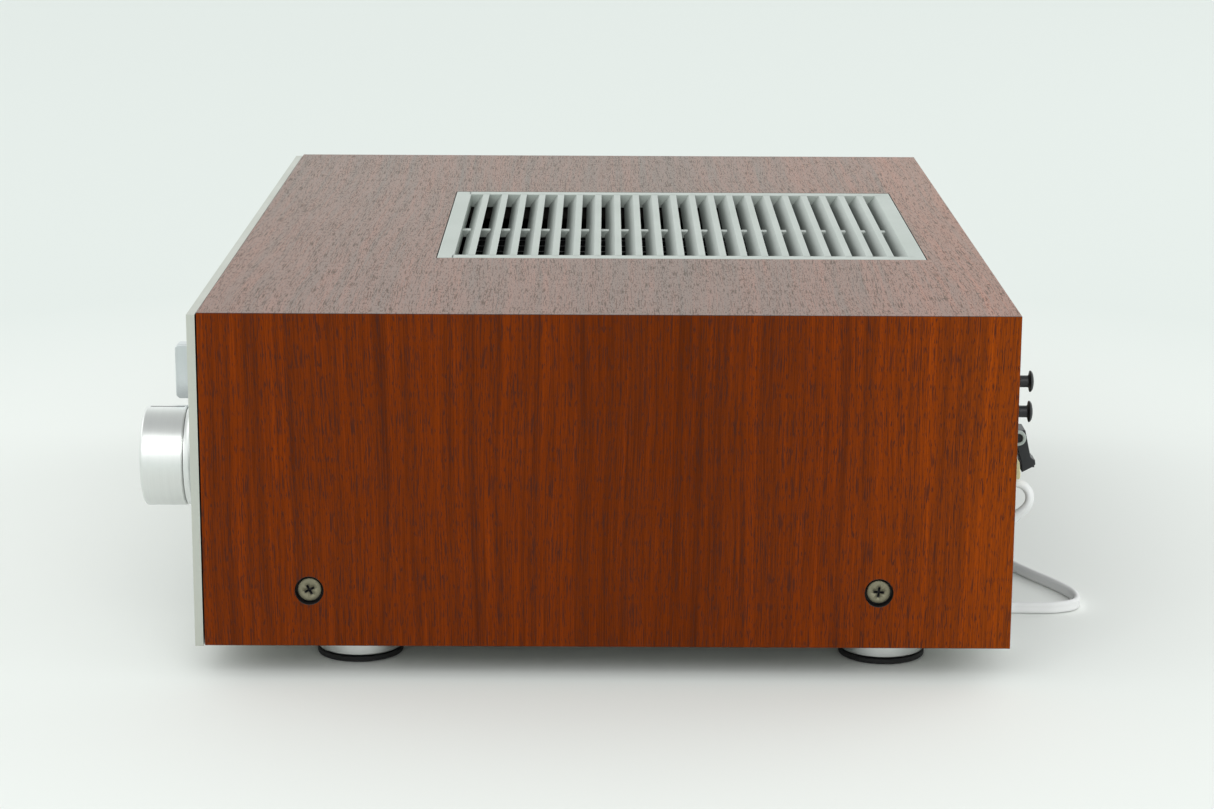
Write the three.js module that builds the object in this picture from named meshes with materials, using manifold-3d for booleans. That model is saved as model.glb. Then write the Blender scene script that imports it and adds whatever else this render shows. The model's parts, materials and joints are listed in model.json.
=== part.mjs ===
// Integrated stereo amplifier in a wooden case, built as an assembly of separate parts.
// Millimetres. +X is the right-hand side seen from the front, +Y the rear, +Z up.
// The rubber feet stand on Z = 0.
import * as THREE from "three";
import { mergeVertices } from "three/addons/utils/BufferGeometryUtils.js";
import Module from "manifold-3d";

const wasm = await Module();
wasm.setup();

// ---------------------------------------------------------------- driving dimensions

const FIT = 0.3; // clearance between pieces that touch
const WOOD = { width: 430, depth: 330, height: 139, side: 15, top: 13 };
const FOOT_HEIGHT = 14.2;
const CENTRE_Y = 7.25; // middle of the wooden case's depth
const KNOB_REACH = 28.5; // volume knob ahead of the wooden case
const SHEET = 1.5; // steel sheet of the chassis

const HALF_WIDTH = WOOD.width / 2;
const FRONT = CENTRE_Y - WOOD.depth / 2; // front edge of the wooden case
const REAR = CENTRE_Y + WOOD.depth / 2;
const BASE = FOOT_HEIGHT; // lower edge of the wooden case
const TOP = BASE + WOOD.height;
const INNER_HALF_WIDTH = HALF_WIDTH - WOOD.side;

const PLATE = { thickness: 3.4, height: 138.5, drop: 0.3 };
const PANEL = FRONT - 4; // front face of the aluminium plate
const SUB_PANEL_BACK = FRONT + 1.2;
const CONTROL_MOUNT = SUB_PANEL_BACK + FIT; // front face of every control body
const REAR_PANEL = REAR - 4.5; // outer face of the rear panel
const REAR_MOUNT = REAR_PANEL + FIT; // inner face of every rear fitting
const CHASSIS_BOTTOM = BASE + 0.8;
const CHASSIS_FLOOR = CHASSIS_BOTTOM + SHEET;
const CHASSIS_HALF_WIDTH = INNER_HALF_WIDTH - 1.5;
const DECK = CHASSIS_FLOOR + FIT; // underside of what stands in the chassis

const VENT = {
  width: 182,
  length: 215.6,
  thickness: 6.5,
  centreY: CENTRE_Y + 32,
  slots: 22,
  slot: 6.25,
  bar: 3.02,
  rim: 7.5,
};

const VOLUME = { x: 170, z: BASE + 69 };
const SELECTOR = { x: 140, z: BASE + 98.9 };
const ROTARIES = [
  { name: "speaker", x: -140 },
  { name: "bass", x: -85 },
  { name: "treble", x: -38 },
  { name: "balance", x: 9 },
];
const ROTARY_Z = BASE + 69;
const SMALL_KNOB = { radius: 13, length: 17, bore: 12 };
const SHAFT_RADIUS = 3;
const BUSH_RADIUS = 4.4;
const BUSH_HOLE_RADIUS = 4.9;
const KNOB_GAP = 0.6; // knob back to panel face
const VOLUME_KNOB = { radius: 20.9, back: PANEL - 6.8, front: FRONT - KNOB_REACH, bore: 14 };

const MODE_LEVERS = [
  { name: "tape_lever", x: 55 },
  { name: "loudness_lever", x: 75 },
  { name: "filter_lever", x: 95 },
];
const MODE_LEVER_Z = BASE + 34;
const POWER_LEVER = { x: -185, z: BASE + 98.9 };
const LEVER = { pivot: FRONT + 5, paddle: [8, 9, 12], stem: 3, gap: 2.2, slot: [4.4, 9.4] };
const POWER_OFF_TILT = THREE.MathUtils.degToRad(-12);
const PHONES = { x: -185, z: BASE + 32 };

const JACKS = { columns: 6, pitch: 16, firstX: 170, lowZ: BASE + 89.4, highZ: BASE + 102.3 };
const SPEAKER_LEVERS = { count: 4, pitch: 28, firstX: 143, width: 12, top: BASE + 76.2 };
const RELIEF = { x: 168, width: 11, low: BASE + 54.7, hood: BASE + 60.9, high: BASE + 68.6 };

const FEET = { x: 175, frontY: CENTRE_Y - 104.6, rearY: CENTRE_Y + 116 };
const CASE_SCREWS = { z: BASE + 23.5, frontY: CENTRE_Y - 121.9, rearY: CENTRE_Y + 110.7 };
const SCREW_RECESS = 4.5;

// The mains cord: flat twin cord, laid along these points from the strain relief to the coil.
const CORD_WIDTH = 5.2;
const CORD_ROUTE = [
  [168, 176.9, 72.1],
  [168, 179, 72.1],
  [168, 181.9, 71.2],
  [168, 184.1, 68.9],
  [168, 185, 65.7],
  [168, 184.2, 62.5],
  [168, 182, 59.9],
  [168, 179, 57.4],
  [168, 176.2, 54.1],
  [168, 174.6, 49.6],
  [168, 174.2, 43],
  [168, 174.2, 31],
  [168, 174.2, 17.6],
  [163.6, 174.2, 7],
  [153, 174.2, 3],
  [141, 174.2, 2.6],
  [132, 174.2, 2.6],
  [123.5, 177.7, 2.6],
  [120, 186.2, 2.6],
  [120, 195.5, 2.6],
  [119.5, 205.5, 2.6],
  [114, 215, 2.6],
  [102, 216.6, 2.6],
  [87, 211.5, 2.6],
  [68, 201.6, 2.6],
  [49, 193, 2.6],
  [30, 189.6, 2.6],
  [-10, 188.6, 2.6],
  [-60, 187.4, 2.6],
  [-110, 188.4, 2.6],
  [-160, 190.2, 2.6],
  [-205, 190.0, 2.6],
  [-245, 189.85, 2.6],
];
const COIL = { x: -262, y: 156.9, inner: 22.6, outer: 34.6, height: 10.9, turn: 32.95 };
const CORD_TAIL = [
  [COIL.x - COIL.turn, 139.4, 8],
  [COIL.x - COIL.turn, 132, 7.2],
  [COIL.x - COIL.turn, 124.4, 6.5],
];
const PLUG = { x: COIL.x - COIL.turn, y: 124.1, z: 6.5 };

// ---------------------------------------------------------------- solids

// A closed geometry as a solid that can be joined and cut, with its faces turned outward.
function solid(geometry) {
  const bare = geometry.clone();
  bare.deleteAttribute("normal");
  bare.deleteAttribute("uv");
  const merged = mergeVertices(bare, 1e-4);
  const corners = merged.getAttribute("position").array;
  const triangles = [];
  let volume = 0;
  const [a, b, c] = [new THREE.Vector3(), new THREE.Vector3(), new THREE.Vector3()];
  for (let i = 0; i < merged.index.count; i += 3) {
    const [p, q, r] = merged.index.array.slice(i, i + 3);
    if (p === q || q === r || r === p) continue;
    triangles.push([p, q, r]);
    a.fromArray(corners, 3 * p);
    b.fromArray(corners, 3 * q);
    c.fromArray(corners, 3 * r);
    volume += a.dot(b.cross(c));
  }
  const facing = volume > 0 ? triangles : triangles.map((t) => t.reverse());
  const mesh = new wasm.Mesh({
    numProp: 3,
    vertProperties: Float32Array.from(corners),
    triVerts: Uint32Array.from(facing.flat()),
  });
  return new wasm.Manifold(mesh);
}

function block([x0, x1], [y0, y1], [z0, z1]) {
  const geometry = new THREE.BoxGeometry(x1 - x0, y1 - y0, z1 - z0);
  return solid(geometry.translate((x0 + x1) / 2, (y0 + y1) / 2, (z0 + z1) / 2));
}

// A turned shape from a profile of [radius, distance along the axis] pairs.
function turned(profile, axis, segments = 24) {
  const geometry = new THREE.LatheGeometry(profile.map(([r, d]) => new THREE.Vector2(r, d)), segments);
  if (axis === "x") geometry.rotateZ(-Math.PI / 2);
  if (axis === "z") geometry.rotateX(Math.PI / 2);
  return geometry;
}

function rod(radius, from, to, axis, segments = 24) {
  return turned([[0, from], [radius, from], [radius, to], [0, to]], axis, segments);
}

// A prism whose outline lies across the axis: [y, z] for "x", [x, z] for "y".
function prism(outline, from, to, axis) {
  const shape = new THREE.Shape(outline.map(([u, v]) => new THREE.Vector2(u, v)));
  const settings = { depth: to - from, bevelEnabled: false };
  const geometry = new THREE.ExtrudeGeometry(shape, settings);
  const turn = new THREE.Matrix4();
  if (axis === "x") {
    turn.makeBasis(new THREE.Vector3(0, 1, 0), new THREE.Vector3(0, 0, 1), new THREE.Vector3(1, 0, 0));
    return solid(geometry.applyMatrix4(turn).translate(from, 0, 0));
  }
  return solid(geometry.rotateX(Math.PI / 2).translate(0, to, 0));
}

function joined(first, ...others) {
  return others.reduce((whole, piece) => whole.add(piece), first);
}

function cut(body, ...tools) {
  return tools.reduce((left, tool) => left.subtract(tool), body);
}

function geometryOf(body) {
  const { vertProperties, triVerts } = body.getMesh();
  const geometry = new THREE.BufferGeometry();
  geometry.setAttribute("position", new THREE.BufferAttribute(vertProperties, 3));
  geometry.setIndex(new THREE.BufferAttribute(triVerts, 1));
  geometry.computeVertexNormals();
  return geometry;
}

// ---------------------------------------------------------------- materials

function look(color, roughness, metalness) {
  return new THREE.MeshStandardMaterial({ color, roughness, metalness });
}

const walnut = look(0x7d4322, 0.55, 0);
const brushedAluminium = look(0xcfd0c8, 0.35, 1);
const turnedAluminium = look(0xdfe1df, 0.28, 1);
const greyEnamel = look(0xbfc5bf, 0.5, 0.4);
const blackSteel = look(0x16171a, 0.6, 0.5);
const zincSteel = look(0x9c9c94, 0.45, 1);
const nickelScrew = look(0xa5a28c, 0.35, 1);
const rubber = look(0x151515, 0.9, 0);
const blackPlastic = look(0x1b1d20, 0.45, 0);
const phenolic = look(0x5a3a20, 0.6, 0);
const coreIron = look(0x3c3c3f, 0.6, 0.6);
const windingPaper = look(0xc9b06a, 0.8, 0);
const blueSleeve = look(0x27425f, 0.4, 0);
const blackAnodised = look(0x1c1c1d, 0.4, 0.6);
const cordVinyl = look(0xdcded8, 0.5, 0);
const ivoryNylon = look(0xcbc39a, 0.6, 0);

const amplifier = new THREE.Group();

function place(name, shape, material, position = [0, 0, 0]) {
  const mesh = new THREE.Mesh(shape.isBufferGeometry ? shape : geometryOf(shape), material);
  mesh.name = name;
  mesh.position.set(...position);
  amplifier.add(mesh);
  return mesh;
}

// ---------------------------------------------------------------- wooden case and vent grille

function ventBox(halfWidth, halfLength, [low, high]) {
  const y = [VENT.centreY - halfLength, VENT.centreY + halfLength];
  return block([-halfWidth, halfWidth], y, [low, high]);
}

function woodCabinet() {
  const inside = INNER_HALF_WIDTH;
  const outline = [
    [-HALF_WIDTH, BASE],
    [-inside, BASE],
    [-inside, TOP - WOOD.top],
    [inside, TOP - WOOD.top],
    [inside, BASE],
    [HALF_WIDTH, BASE],
    [HALF_WIDTH, TOP],
    [-HALF_WIDTH, TOP],
  ];
  const ledge = 4;
  const halfWidth = VENT.width / 2;
  const halfLength = VENT.length / 2;
  const rebateFloor = TOP - VENT.thickness - FIT;
  const rebate = ventBox(halfWidth + FIT, halfLength + FIT, [rebateFloor, TOP + 1]);
  const well = ventBox(halfWidth - ledge, halfLength - ledge, [TOP - WOOD.top - 1, rebateFloor + 1]);
  const body = cut(prism(outline, FRONT, REAR, "y"), rebate, well);
  const holes = [];
  for (const side of [-1, 1]) {
    for (const y of [CASE_SCREWS.frontY, CASE_SCREWS.rearY]) {
      const seat = side * (HALF_WIDTH - SCREW_RECESS);
      const recess = rod(5.9, Math.min(seat, seat + side * 10), Math.max(seat, seat + side * 10), "x");
      const through = rod(3, side * HALF_WIDTH - 20, side * HALF_WIDTH + 20, "x", 16);
      holes.push(solid(recess.translate(0, y, CASE_SCREWS.z)), solid(through.translate(0, y, CASE_SCREWS.z)));
    }
  }
  return cut(body, ...holes);
}

function topGrille() {
  const halfWidth = VENT.width / 2;
  const halfLength = VENT.length / 2;
  const pitch = VENT.slot + VENT.bar;
  const slotsLength = VENT.slots * pitch - VENT.bar;
  const firstSlot = VENT.centreY - slotsLength / 2;
  const level = TOP - VENT.thickness;
  const windowHalfWidth = halfWidth - VENT.rim;
  const window = block(
    [-windowHalfWidth, windowHalfWidth],
    [firstSlot, firstSlot + slotsLength],
    [level - 1, TOP + 1],
  );
  const frame = cut(ventBox(halfWidth, halfLength, [level, TOP]), window);
  const lean = 4.4; // how far each louvre blade leans forward under its slot
  const drop = 5.2;
  const blades = [];
  for (let i = 1; i <= VENT.slots; i += 1) {
    const y = firstSlot + i * pitch - VENT.bar;
    const top = i < VENT.slots ? TOP : TOP - 0.4;
    const outline = [
      [y, top],
      [y + VENT.bar, top],
      [y - lean + 2.2, TOP - drop],
      [y - lean, TOP - drop],
    ];
    blades.push(prism(outline, -windowHalfWidth - 1, windowHalfWidth + 1, "x"));
  }
  const spine = block([-2.5, 2.5], [firstSlot - 1, firstSlot + slotsLength + 1], [level, TOP - 3.2]);
  return joined(frame, spine, ...blades);
}

place("wood_cabinet", woodCabinet(), walnut);
place("top_grille", topGrille(), greyEnamel);

// ---------------------------------------------------------------- front plate and chassis

// A hole along Y through the front plate or the black panel behind it.
function hole(x, z, radius) {
  return solid(rod(radius, PANEL - 5, FRONT + 10, "y", 24).translate(x, 0, z));
}

function leverSlot({ x, z }) {
  const [width, height] = LEVER.slot;
  return block([x - width / 2, x + width / 2], [PANEL - 5, FRONT + 10], [z - height / 2, z + height / 2]);
}

function controlHoles() {
  const levers = MODE_LEVERS.map(({ x }) => leverSlot({ x, z: MODE_LEVER_Z }));
  const rotaries = ROTARIES.map(({ x }) => hole(x, ROTARY_Z, BUSH_HOLE_RADIUS));
  return [
    hole(VOLUME.x, VOLUME.z, BUSH_HOLE_RADIUS),
    hole(SELECTOR.x, SELECTOR.z, BUSH_HOLE_RADIUS),
    hole(PHONES.x, PHONES.z, 6),
    leverSlot(POWER_LEVER),
    ...rotaries,
    ...levers,
  ];
}

function frontPanel() {
  const low = BASE - PLATE.drop;
  const plate = block([-HALF_WIDTH, HALF_WIDTH], [PANEL, PANEL + PLATE.thickness], [low, low + PLATE.height]);
  return cut(plate, ...controlHoles());
}

function subPanel() {
  const half = INNER_HALF_WIDTH - 0.5;
  const sheet = block([-half, half], [FRONT - FIT, SUB_PANEL_BACK], [CHASSIS_BOTTOM, TOP - WOOD.top - 0.5]);
  return cut(sheet, ...controlHoles());
}

function chassisTray() {
  const wall = 56;
  const half = CHASSIS_HALF_WIDTH;
  const outline = [
    [-half, CHASSIS_BOTTOM],
    [half, CHASSIS_BOTTOM],
    [half, CHASSIS_BOTTOM + wall],
    [half - SHEET, CHASSIS_BOTTOM + wall],
    [half - SHEET, CHASSIS_FLOOR],
    [SHEET - half, CHASSIS_FLOOR],
    [SHEET - half, CHASSIS_BOTTOM + wall],
    [-half, CHASSIS_BOTTOM + wall],
  ];
  const tray = prism(outline, CONTROL_MOUNT, REAR_PANEL - SHEET - FIT, "y");
  const screwHoles = [CASE_SCREWS.frontY, CASE_SCREWS.rearY].map((y) =>
    solid(rod(2.9, -HALF_WIDTH, HALF_WIDTH, "x", 16).translate(0, y, CASE_SCREWS.z)),
  );
  return cut(tray, ...screwHoles);
}

function rearPanel() {
  const half = CHASSIS_HALF_WIDTH;
  const sheetTop = TOP - WOOD.top - 0.5;
  const sheet = block([-half, half], [REAR_PANEL - SHEET, REAR_PANEL], [CHASSIS_BOTTOM, sheetTop]);
  const reliefHole = block(
    [RELIEF.x - 5, RELIEF.x + 5],
    [REAR - 20, REAR],
    [RELIEF.low + 0.8, RELIEF.high - 0.8],
  );
  return cut(sheet, reliefHole);
}

place("front_panel", frontPanel(), brushedAluminium);
place("sub_panel", subPanel(), blackSteel);
place("chassis_tray", chassisTray(), zincSteel);
place("rear_panel", rearPanel(), blackSteel);

// ---------------------------------------------------------------- feet and case screws

function footBody() {
  const [low, high] = [2.5, CHASSIS_BOTTOM - FIT];
  const radius = 17.6;
  const profile = [[0, low], [radius - 0.6, low], [radius, low + 0.6], [radius, high], [0, high]];
  return geometryOf(solid(turned(profile, "z", 32)));
}

function footPad() {
  const [radius, thickness] = [18.1, 2.2];
  const profile = [[0, 0], [radius - 0.5, 0], [radius, 0.5], [radius, thickness], [0, thickness]];
  return geometryOf(solid(turned(profile, "z", 32)));
}

// Cross-slot pan screw pointing along +X, with its head's outer face at X = 0.
function caseScrew() {
  const [head, rim, shank, length] = [4.85, 0.5, 2.5, 22];
  const outline = [
    [0, 0],
    [head - rim, 0],
    [head, rim],
    [head, 2.7],
    [shank, 2.7],
    [shank, length],
    [0, length],
  ];
  const slots = [
    block([-1, 1.6], [-2.7, 2.7], [-0.55, 0.55]),
    block([-1, 1.6], [-0.55, 0.55], [-2.7, 2.7]),
  ];
  return geometryOf(cut(solid(turned(outline, "x", 16)), ...slots));
}

const footShape = footBody();
const padShape = footPad();
const screwShape = caseScrew();
for (const [end, footY, screwY] of [
  ["front", FEET.frontY, CASE_SCREWS.frontY],
  ["rear", FEET.rearY, CASE_SCREWS.rearY],
]) {
  for (const [side, sign] of [["left", -1], ["right", 1]]) {
    place(`foot_${end}_${side}`, footShape, turnedAluminium, [sign * FEET.x, footY, 0]);
    place(`foot_pad_${end}_${side}`, padShape, rubber, [sign * FEET.x, footY, 0]);
    const headFace = HALF_WIDTH - SCREW_RECESS + FIT + 2.7;
    const screw = place(`case_screw_${end}_${side}`, screwShape, nickelScrew);
    screw.position.set(sign * headFace, screwY, CASE_SCREWS.z);
    screw.rotation.z = sign > 0 ? Math.PI : 0;
  }
}

// ---------------------------------------------------------------- power supply and circuit boards

const TRANSFORMER = {
  x: -145,
  y: CENTRE_Y - 10,
  core: [96, 50, 80],
  window: 16,
  yoke: 16,
  centreLeg: 32,
};

function transformerCore() {
  const [width, depth, height] = TRANSFORMER.core;
  const { x, y, window, yoke, centreLeg } = TRANSFORMER;
  const stack = block([x - width / 2, x + width / 2], [y - depth / 2, y + depth / 2], [DECK, DECK + height]);
  const windows = [-1, 1].map((side) => {
    const near = x + (side * centreLeg) / 2;
    const far = near + side * window;
    const across = [Math.min(near, far), Math.max(near, far)];
    return block(across, [y - depth, y + depth], [DECK + yoke, DECK + height - yoke]);
  });
  return cut(stack, ...windows);
}

function transformerCoil() {
  const { x, y, core, window, yoke, centreLeg } = TRANSFORMER;
  const halfLeg = centreLeg / 2 + FIT;
  const halfDepth = core[1] / 2 + FIT;
  const wall = window - 2 * FIT;
  const [low, high] = [DECK + yoke + FIT, DECK + core[2] - yoke - FIT];
  const outside = block(
    [x - halfLeg - wall, x + halfLeg + wall],
    [y - halfDepth - wall, y + halfDepth + wall],
    [low, high],
  );
  const inside = block([x - halfLeg, x + halfLeg], [y - halfDepth, y + halfDepth], [low - 1, high + 1]);
  return cut(outside, inside);
}

function filterCapacitor() {
  const [radius, height, groove] = [25, 95, 1.2];
  const profile = [
    [0, 0],
    [radius, 0],
    [radius, height - 9],
    [radius - groove, height - 7.5],
    [radius, height - 6],
    [radius - 1, height],
    [radius - 3, height],
    [radius - 3, height - 2],
    [0, height - 2],
  ];
  return geometryOf(solid(turned(profile, "z")));
}

// A comb of cooling fins on a flat base, carried on one leg at its outer side.
function heatSink(side) {
  const [inner, outer, fin, fins] = [8, 85, 2, 6];
  const [baseLow, baseHigh, finTop] = [BASE + 60, BASE + 65, BASE + 121];
  const pitch = (outer - inner - fin) / (fins - 1);
  const outline = [[inner, baseLow], [outer - 3, baseLow], [outer - 3, DECK], [outer, DECK]];
  for (let i = fins - 1; i >= 0; i -= 1) {
    const x = inner + i * pitch;
    if (i < fins - 1) outline.push([x + fin, baseHigh]);
    outline.push([x + fin, finTop], [x, finTop]);
    if (i > 0) outline.push([x, baseHigh]);
  }
  return prism(outline.map(([x, z]) => [side * x, z]), CENTRE_Y - 65, CENTRE_Y + 130, "y");
}

const capacitorShape = filterCapacitor();
place("transformer_core", transformerCore(), coreIron);
place("transformer_coil", transformerCoil(), windingPaper);
place("filter_capacitor_front", capacitorShape, blueSleeve, [140, CENTRE_Y - 55, DECK]);
place("filter_capacitor_rear", capacitorShape, blueSleeve, [140, CENTRE_Y + 5, DECK]);
place("heat_sink_left", heatSink(-1), blackAnodised);
place("heat_sink_right", heatSink(1), blackAnodised);
const ampBoard = block([-78, 78], [CENTRE_Y - 60, CENTRE_Y + 125], [BASE + 30, BASE + 31.6]);
place("power_amp_board", ampBoard, phenolic);
const phonoBoard = block([98, 192], [CENTRE_Y + 62, CENTRE_Y + 150], [BASE + 78, BASE + 79.6]);
place("phono_board", phonoBoard, phenolic);

// ---------------------------------------------------------------- rotary controls

// Control body behind the panel with its threaded bush, and its shaft when it is one with it.
function controlBody(radius, length, shaftEnd) {
  const back = CONTROL_MOUNT + length;
  const profile = [[0, back], [radius, back], [radius, CONTROL_MOUNT], [BUSH_RADIUS, CONTROL_MOUNT]];
  profile.push([BUSH_RADIUS, PANEL + 0.5]);
  if (shaftEnd) profile.push([SHAFT_RADIUS, PANEL + 0.5], [SHAFT_RADIUS, shaftEnd], [0, shaftEnd]);
  else profile.push([0, PANEL + 0.5]);
  return solid(turned(profile, "y", 20));
}

function smallKnob() {
  const { radius, length, bore } = SMALL_KNOB;
  const back = PANEL - KNOB_GAP;
  const front = back - length;
  const profile = [
    [SHAFT_RADIUS + FIT, back],
    [radius, back],
    [radius, front + 1.2],
    [radius - 1.2, front],
    [0, front],
    [0, back - bore],
    [SHAFT_RADIUS + FIT, back - bore],
    [SHAFT_RADIUS + FIT, back],
  ];
  return geometryOf(solid(turned(profile, "y", 32)));
}

function volumeKnob() {
  const { radius, back, front, bore } = VOLUME_KNOB;
  const rounding = 1.4;
  const profile = [[SHAFT_RADIUS + FIT, back], [radius, back]];
  for (const turn of [0, 30, 60, 90]) {
    const angle = THREE.MathUtils.degToRad(turn);
    profile.push([
      radius - rounding * (1 - Math.cos(angle)),
      front + rounding * (1 - Math.sin(angle)),
    ]);
  }
  profile.push([0, front], [0, back - bore], [SHAFT_RADIUS + FIT, back - bore], [SHAFT_RADIUS + FIT, back]);
  return geometryOf(solid(turned(profile, "y", 48)));
}

function volumeDial() {
  const bore = 5.2;
  const face = VOLUME_KNOB.back + FIT;
  const profile = [
    [bore, face],
    [20.8, face],
    [26.5, PANEL - 2.2],
    [26.5, PANEL - 1],
    [bore, PANEL - 1],
    [bore, face],
  ];
  return geometryOf(solid(turned(profile, "y", 48)));
}

// The volume control's shaft is a piece of its own, in a bore of the control body.
function volumePot() {
  const bore = solid(rod(SHAFT_RADIUS + FIT, PANEL - 5, CONTROL_MOUNT + 16, "y", 24));
  return geometryOf(cut(controlBody(15, 22), bore));
}

function volumeShaft() {
  const front = VOLUME_KNOB.back - VOLUME_KNOB.bore + 0.5;
  return geometryOf(solid(rod(SHAFT_RADIUS, front, CONTROL_MOUNT + 15, "y", 24)));
}

function selectorKnob() {
  const [halfWidth, halfHeight, reach, corner] = [3.6, 11.7, 15.4, 1.2];
  const back = PANEL - KNOB_GAP;
  const front = PANEL - reach;
  const outline = [
    [back, -halfHeight],
    [back, halfHeight],
    [front + corner, halfHeight],
    [front, halfHeight - corner],
    [front, corner - halfHeight],
    [front + corner, -halfHeight],
  ];
  const bar = prism(outline, -halfWidth, halfWidth, "x");
  const hub = solid(rod(6, back - 5, back, "y", 24));
  const bore = solid(rod(SHAFT_RADIUS + FIT, back - 11, back + 1, "y", 24));
  return geometryOf(cut(joined(bar, hub), bore));
}

place("volume_knob", volumeKnob(), turnedAluminium, [VOLUME.x, 0, VOLUME.z]);
place("volume_dial", volumeDial(), turnedAluminium, [VOLUME.x, 0, VOLUME.z]);
place("volume_shaft", volumeShaft(), zincSteel, [VOLUME.x, 0, VOLUME.z]);
place("volume_pot", volumePot(), zincSteel, [VOLUME.x, 0, VOLUME.z]);
const selectorShaftEnd = PANEL - KNOB_GAP - 10.5;
place("selector_knob", selectorKnob(), brushedAluminium, [SELECTOR.x, 0, SELECTOR.z]);
place("selector_switch", controlBody(17, 24, selectorShaftEnd), zincSteel, [SELECTOR.x, 0, SELECTOR.z]);

const smallKnobShape = smallKnob();
const smallPotShape = geometryOf(controlBody(12, 12, PANEL - KNOB_GAP - SMALL_KNOB.bore + 0.5));
for (const { name, x } of ROTARIES) {
  place(`${name}_knob`, smallKnobShape, turnedAluminium, [x, 0, ROTARY_Z]);
  place(name === "speaker" ? "speaker_switch" : `${name}_pot`, smallPotShape, zincSteel, [x, 0, ROTARY_Z]);
}

// ---------------------------------------------------------------- lever switches and headphone jack

// A lever around its own pivot: barrel on the pivot, stem through the panel, paddle in front.
function leverShape() {
  const [width, depth, height] = LEVER.paddle;
  const face = PANEL - LEVER.gap - LEVER.pivot;
  const half = LEVER.stem / 2;
  const edge = 1;
  const outline = [
    [face, height / 2],
    [face - depth + edge, height / 2],
    [face - depth, height / 2 - edge],
    [face - depth, edge - height / 2],
    [face - depth + edge, -height / 2],
    [face, -height / 2],
  ];
  const paddle = prism(outline, -width / 2, width / 2, "x");
  const stem = block([-half, half], [face - 1, 0], [-half, half]);
  const barrel = solid(rod(2.5, -3.5, 3.5, "x", 16));
  return geometryOf(joined(paddle, stem, barrel));
}

// Switch bodies behind the panel, with an ear on each side of every lever's barrel.
function leverMount(positions) {
  const [earThickness, earGap, bodyDepth] = [2, 3.5 + FIT, 20];
  const bodyFront = LEVER.pivot + 2.5 + FIT;
  const reach = earGap + earThickness;
  const ears = positions.flatMap((x) =>
    [-1, 1].map((side) => {
      const near = x + side * earGap;
      const far = x + side * reach;
      return block([Math.min(near, far), Math.max(near, far)], [CONTROL_MOUNT, bodyFront + 1], [-6, 6]);
    }),
  );
  const across = [Math.min(...positions) - reach, Math.max(...positions) + reach];
  return geometryOf(joined(block(across, [bodyFront, bodyFront + bodyDepth], [-9, 9]), ...ears));
}

function phonesJack() {
  const barrel = solid(rod(5.5, PANEL - 2.5, CONTROL_MOUNT + 1, "y"));
  const body = block([-8, 8], [CONTROL_MOUNT, CONTROL_MOUNT + 26], [-8, 8]);
  const bore = solid(rod(3.3, PANEL - 5, CONTROL_MOUNT + 24, "y", 24));
  return geometryOf(cut(joined(barrel, body), bore));
}

const leverGeometry = leverShape();
for (const { name, x } of MODE_LEVERS) {
  place(name, leverGeometry, brushedAluminium, [x, LEVER.pivot, MODE_LEVER_Z]);
}
const modeMount = leverMount(MODE_LEVERS.map(({ x }) => x));
place("mode_switch_bank", modeMount, zincSteel, [0, 0, MODE_LEVER_Z]);
const powerLever = place("power_lever", leverGeometry, brushedAluminium);
powerLever.position.set(POWER_LEVER.x, LEVER.pivot, POWER_LEVER.z);
powerLever.rotation.x = -POWER_OFF_TILT;
place("power_switch", leverMount([0]), blackPlastic, [POWER_LEVER.x, 0, POWER_LEVER.z]);
place("headphone_jack", phonesJack(), zincSteel, [PHONES.x, 0, PHONES.z]);

// ---------------------------------------------------------------- rear fittings

function jackStrip() {
  const { columns, pitch, firstX, lowZ, highZ } = JACKS;
  const lastX = firstX - (columns - 1) * pitch;
  const plateBack = REAR_MOUNT + 1.6;
  const plate = block([lastX - 10, firstX + 10], [REAR_MOUNT, plateBack], [lowZ - 9, highZ + 9]);
  const barrel = (x, z) => solid(rod(4.1, plateBack - 0.5, REAR + 6, "y", 12).translate(x, 0, z));
  const bore = (x, z) => solid(rod(1.8, plateBack, REAR + 10, "y", 8).translate(x, 0, z));
  const places = [];
  for (let i = 0; i < columns; i += 1) {
    places.push([firstX - i * pitch, lowZ], [firstX - i * pitch, highZ]);
  }
  const strip = joined(plate, ...places.map(([x, z]) => barrel(x, z)));
  return cut(strip, ...places.map(([x, z]) => bore(x, z)));
}

// Shorting plug: pin in the jack, slim handle, domed mushroom end.
function shortingPlug() {
  const profile = [
    [0, REAR - 0.5],
    [1.5, REAR - 0.5],
    [1.5, REAR + 6 + FIT],
    [2.5, REAR + 6 + FIT],
    [2.5, REAR + 9.6],
    [3.1, REAR + 10.1],
    [4.5, REAR + 10.4],
    [4.5, REAR + 10.9],
    [3.6, REAR + 11.6],
    [0, REAR + 12.1],
  ];
  return geometryOf(solid(turned(profile, "y", 16)));
}

const leverPivot = { y: REAR + 9, z: SPEAKER_LEVERS.top - 2.2 };

// The block has a pair of ears for each lever's pivot.
function speakerTerminalBlock() {
  const { count, pitch, firstX, width, top } = SPEAKER_LEVERS;
  const left = firstX - (count - 1) * pitch - width / 2 - 3;
  const right = firstX + width / 2 + 3;
  const face = REAR + 5.6;
  const ear = 1.8;
  const body = block([left, right], [REAR_MOUNT, face], [top - 21, top + 3]);
  const ears = [];
  for (let i = 0; i < count; i += 1) {
    for (const side of [-1, 1]) {
      const near = firstX - i * pitch + side * (width / 2 + FIT);
      const far = near + side * ear;
      const across = [Math.min(near, far), Math.max(near, far)];
      ears.push(block(across, [face - 1, leverPivot.y + 2.4], [leverPivot.z - 3, top]));
    }
  }
  return joined(body, ...ears);
}

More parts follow.
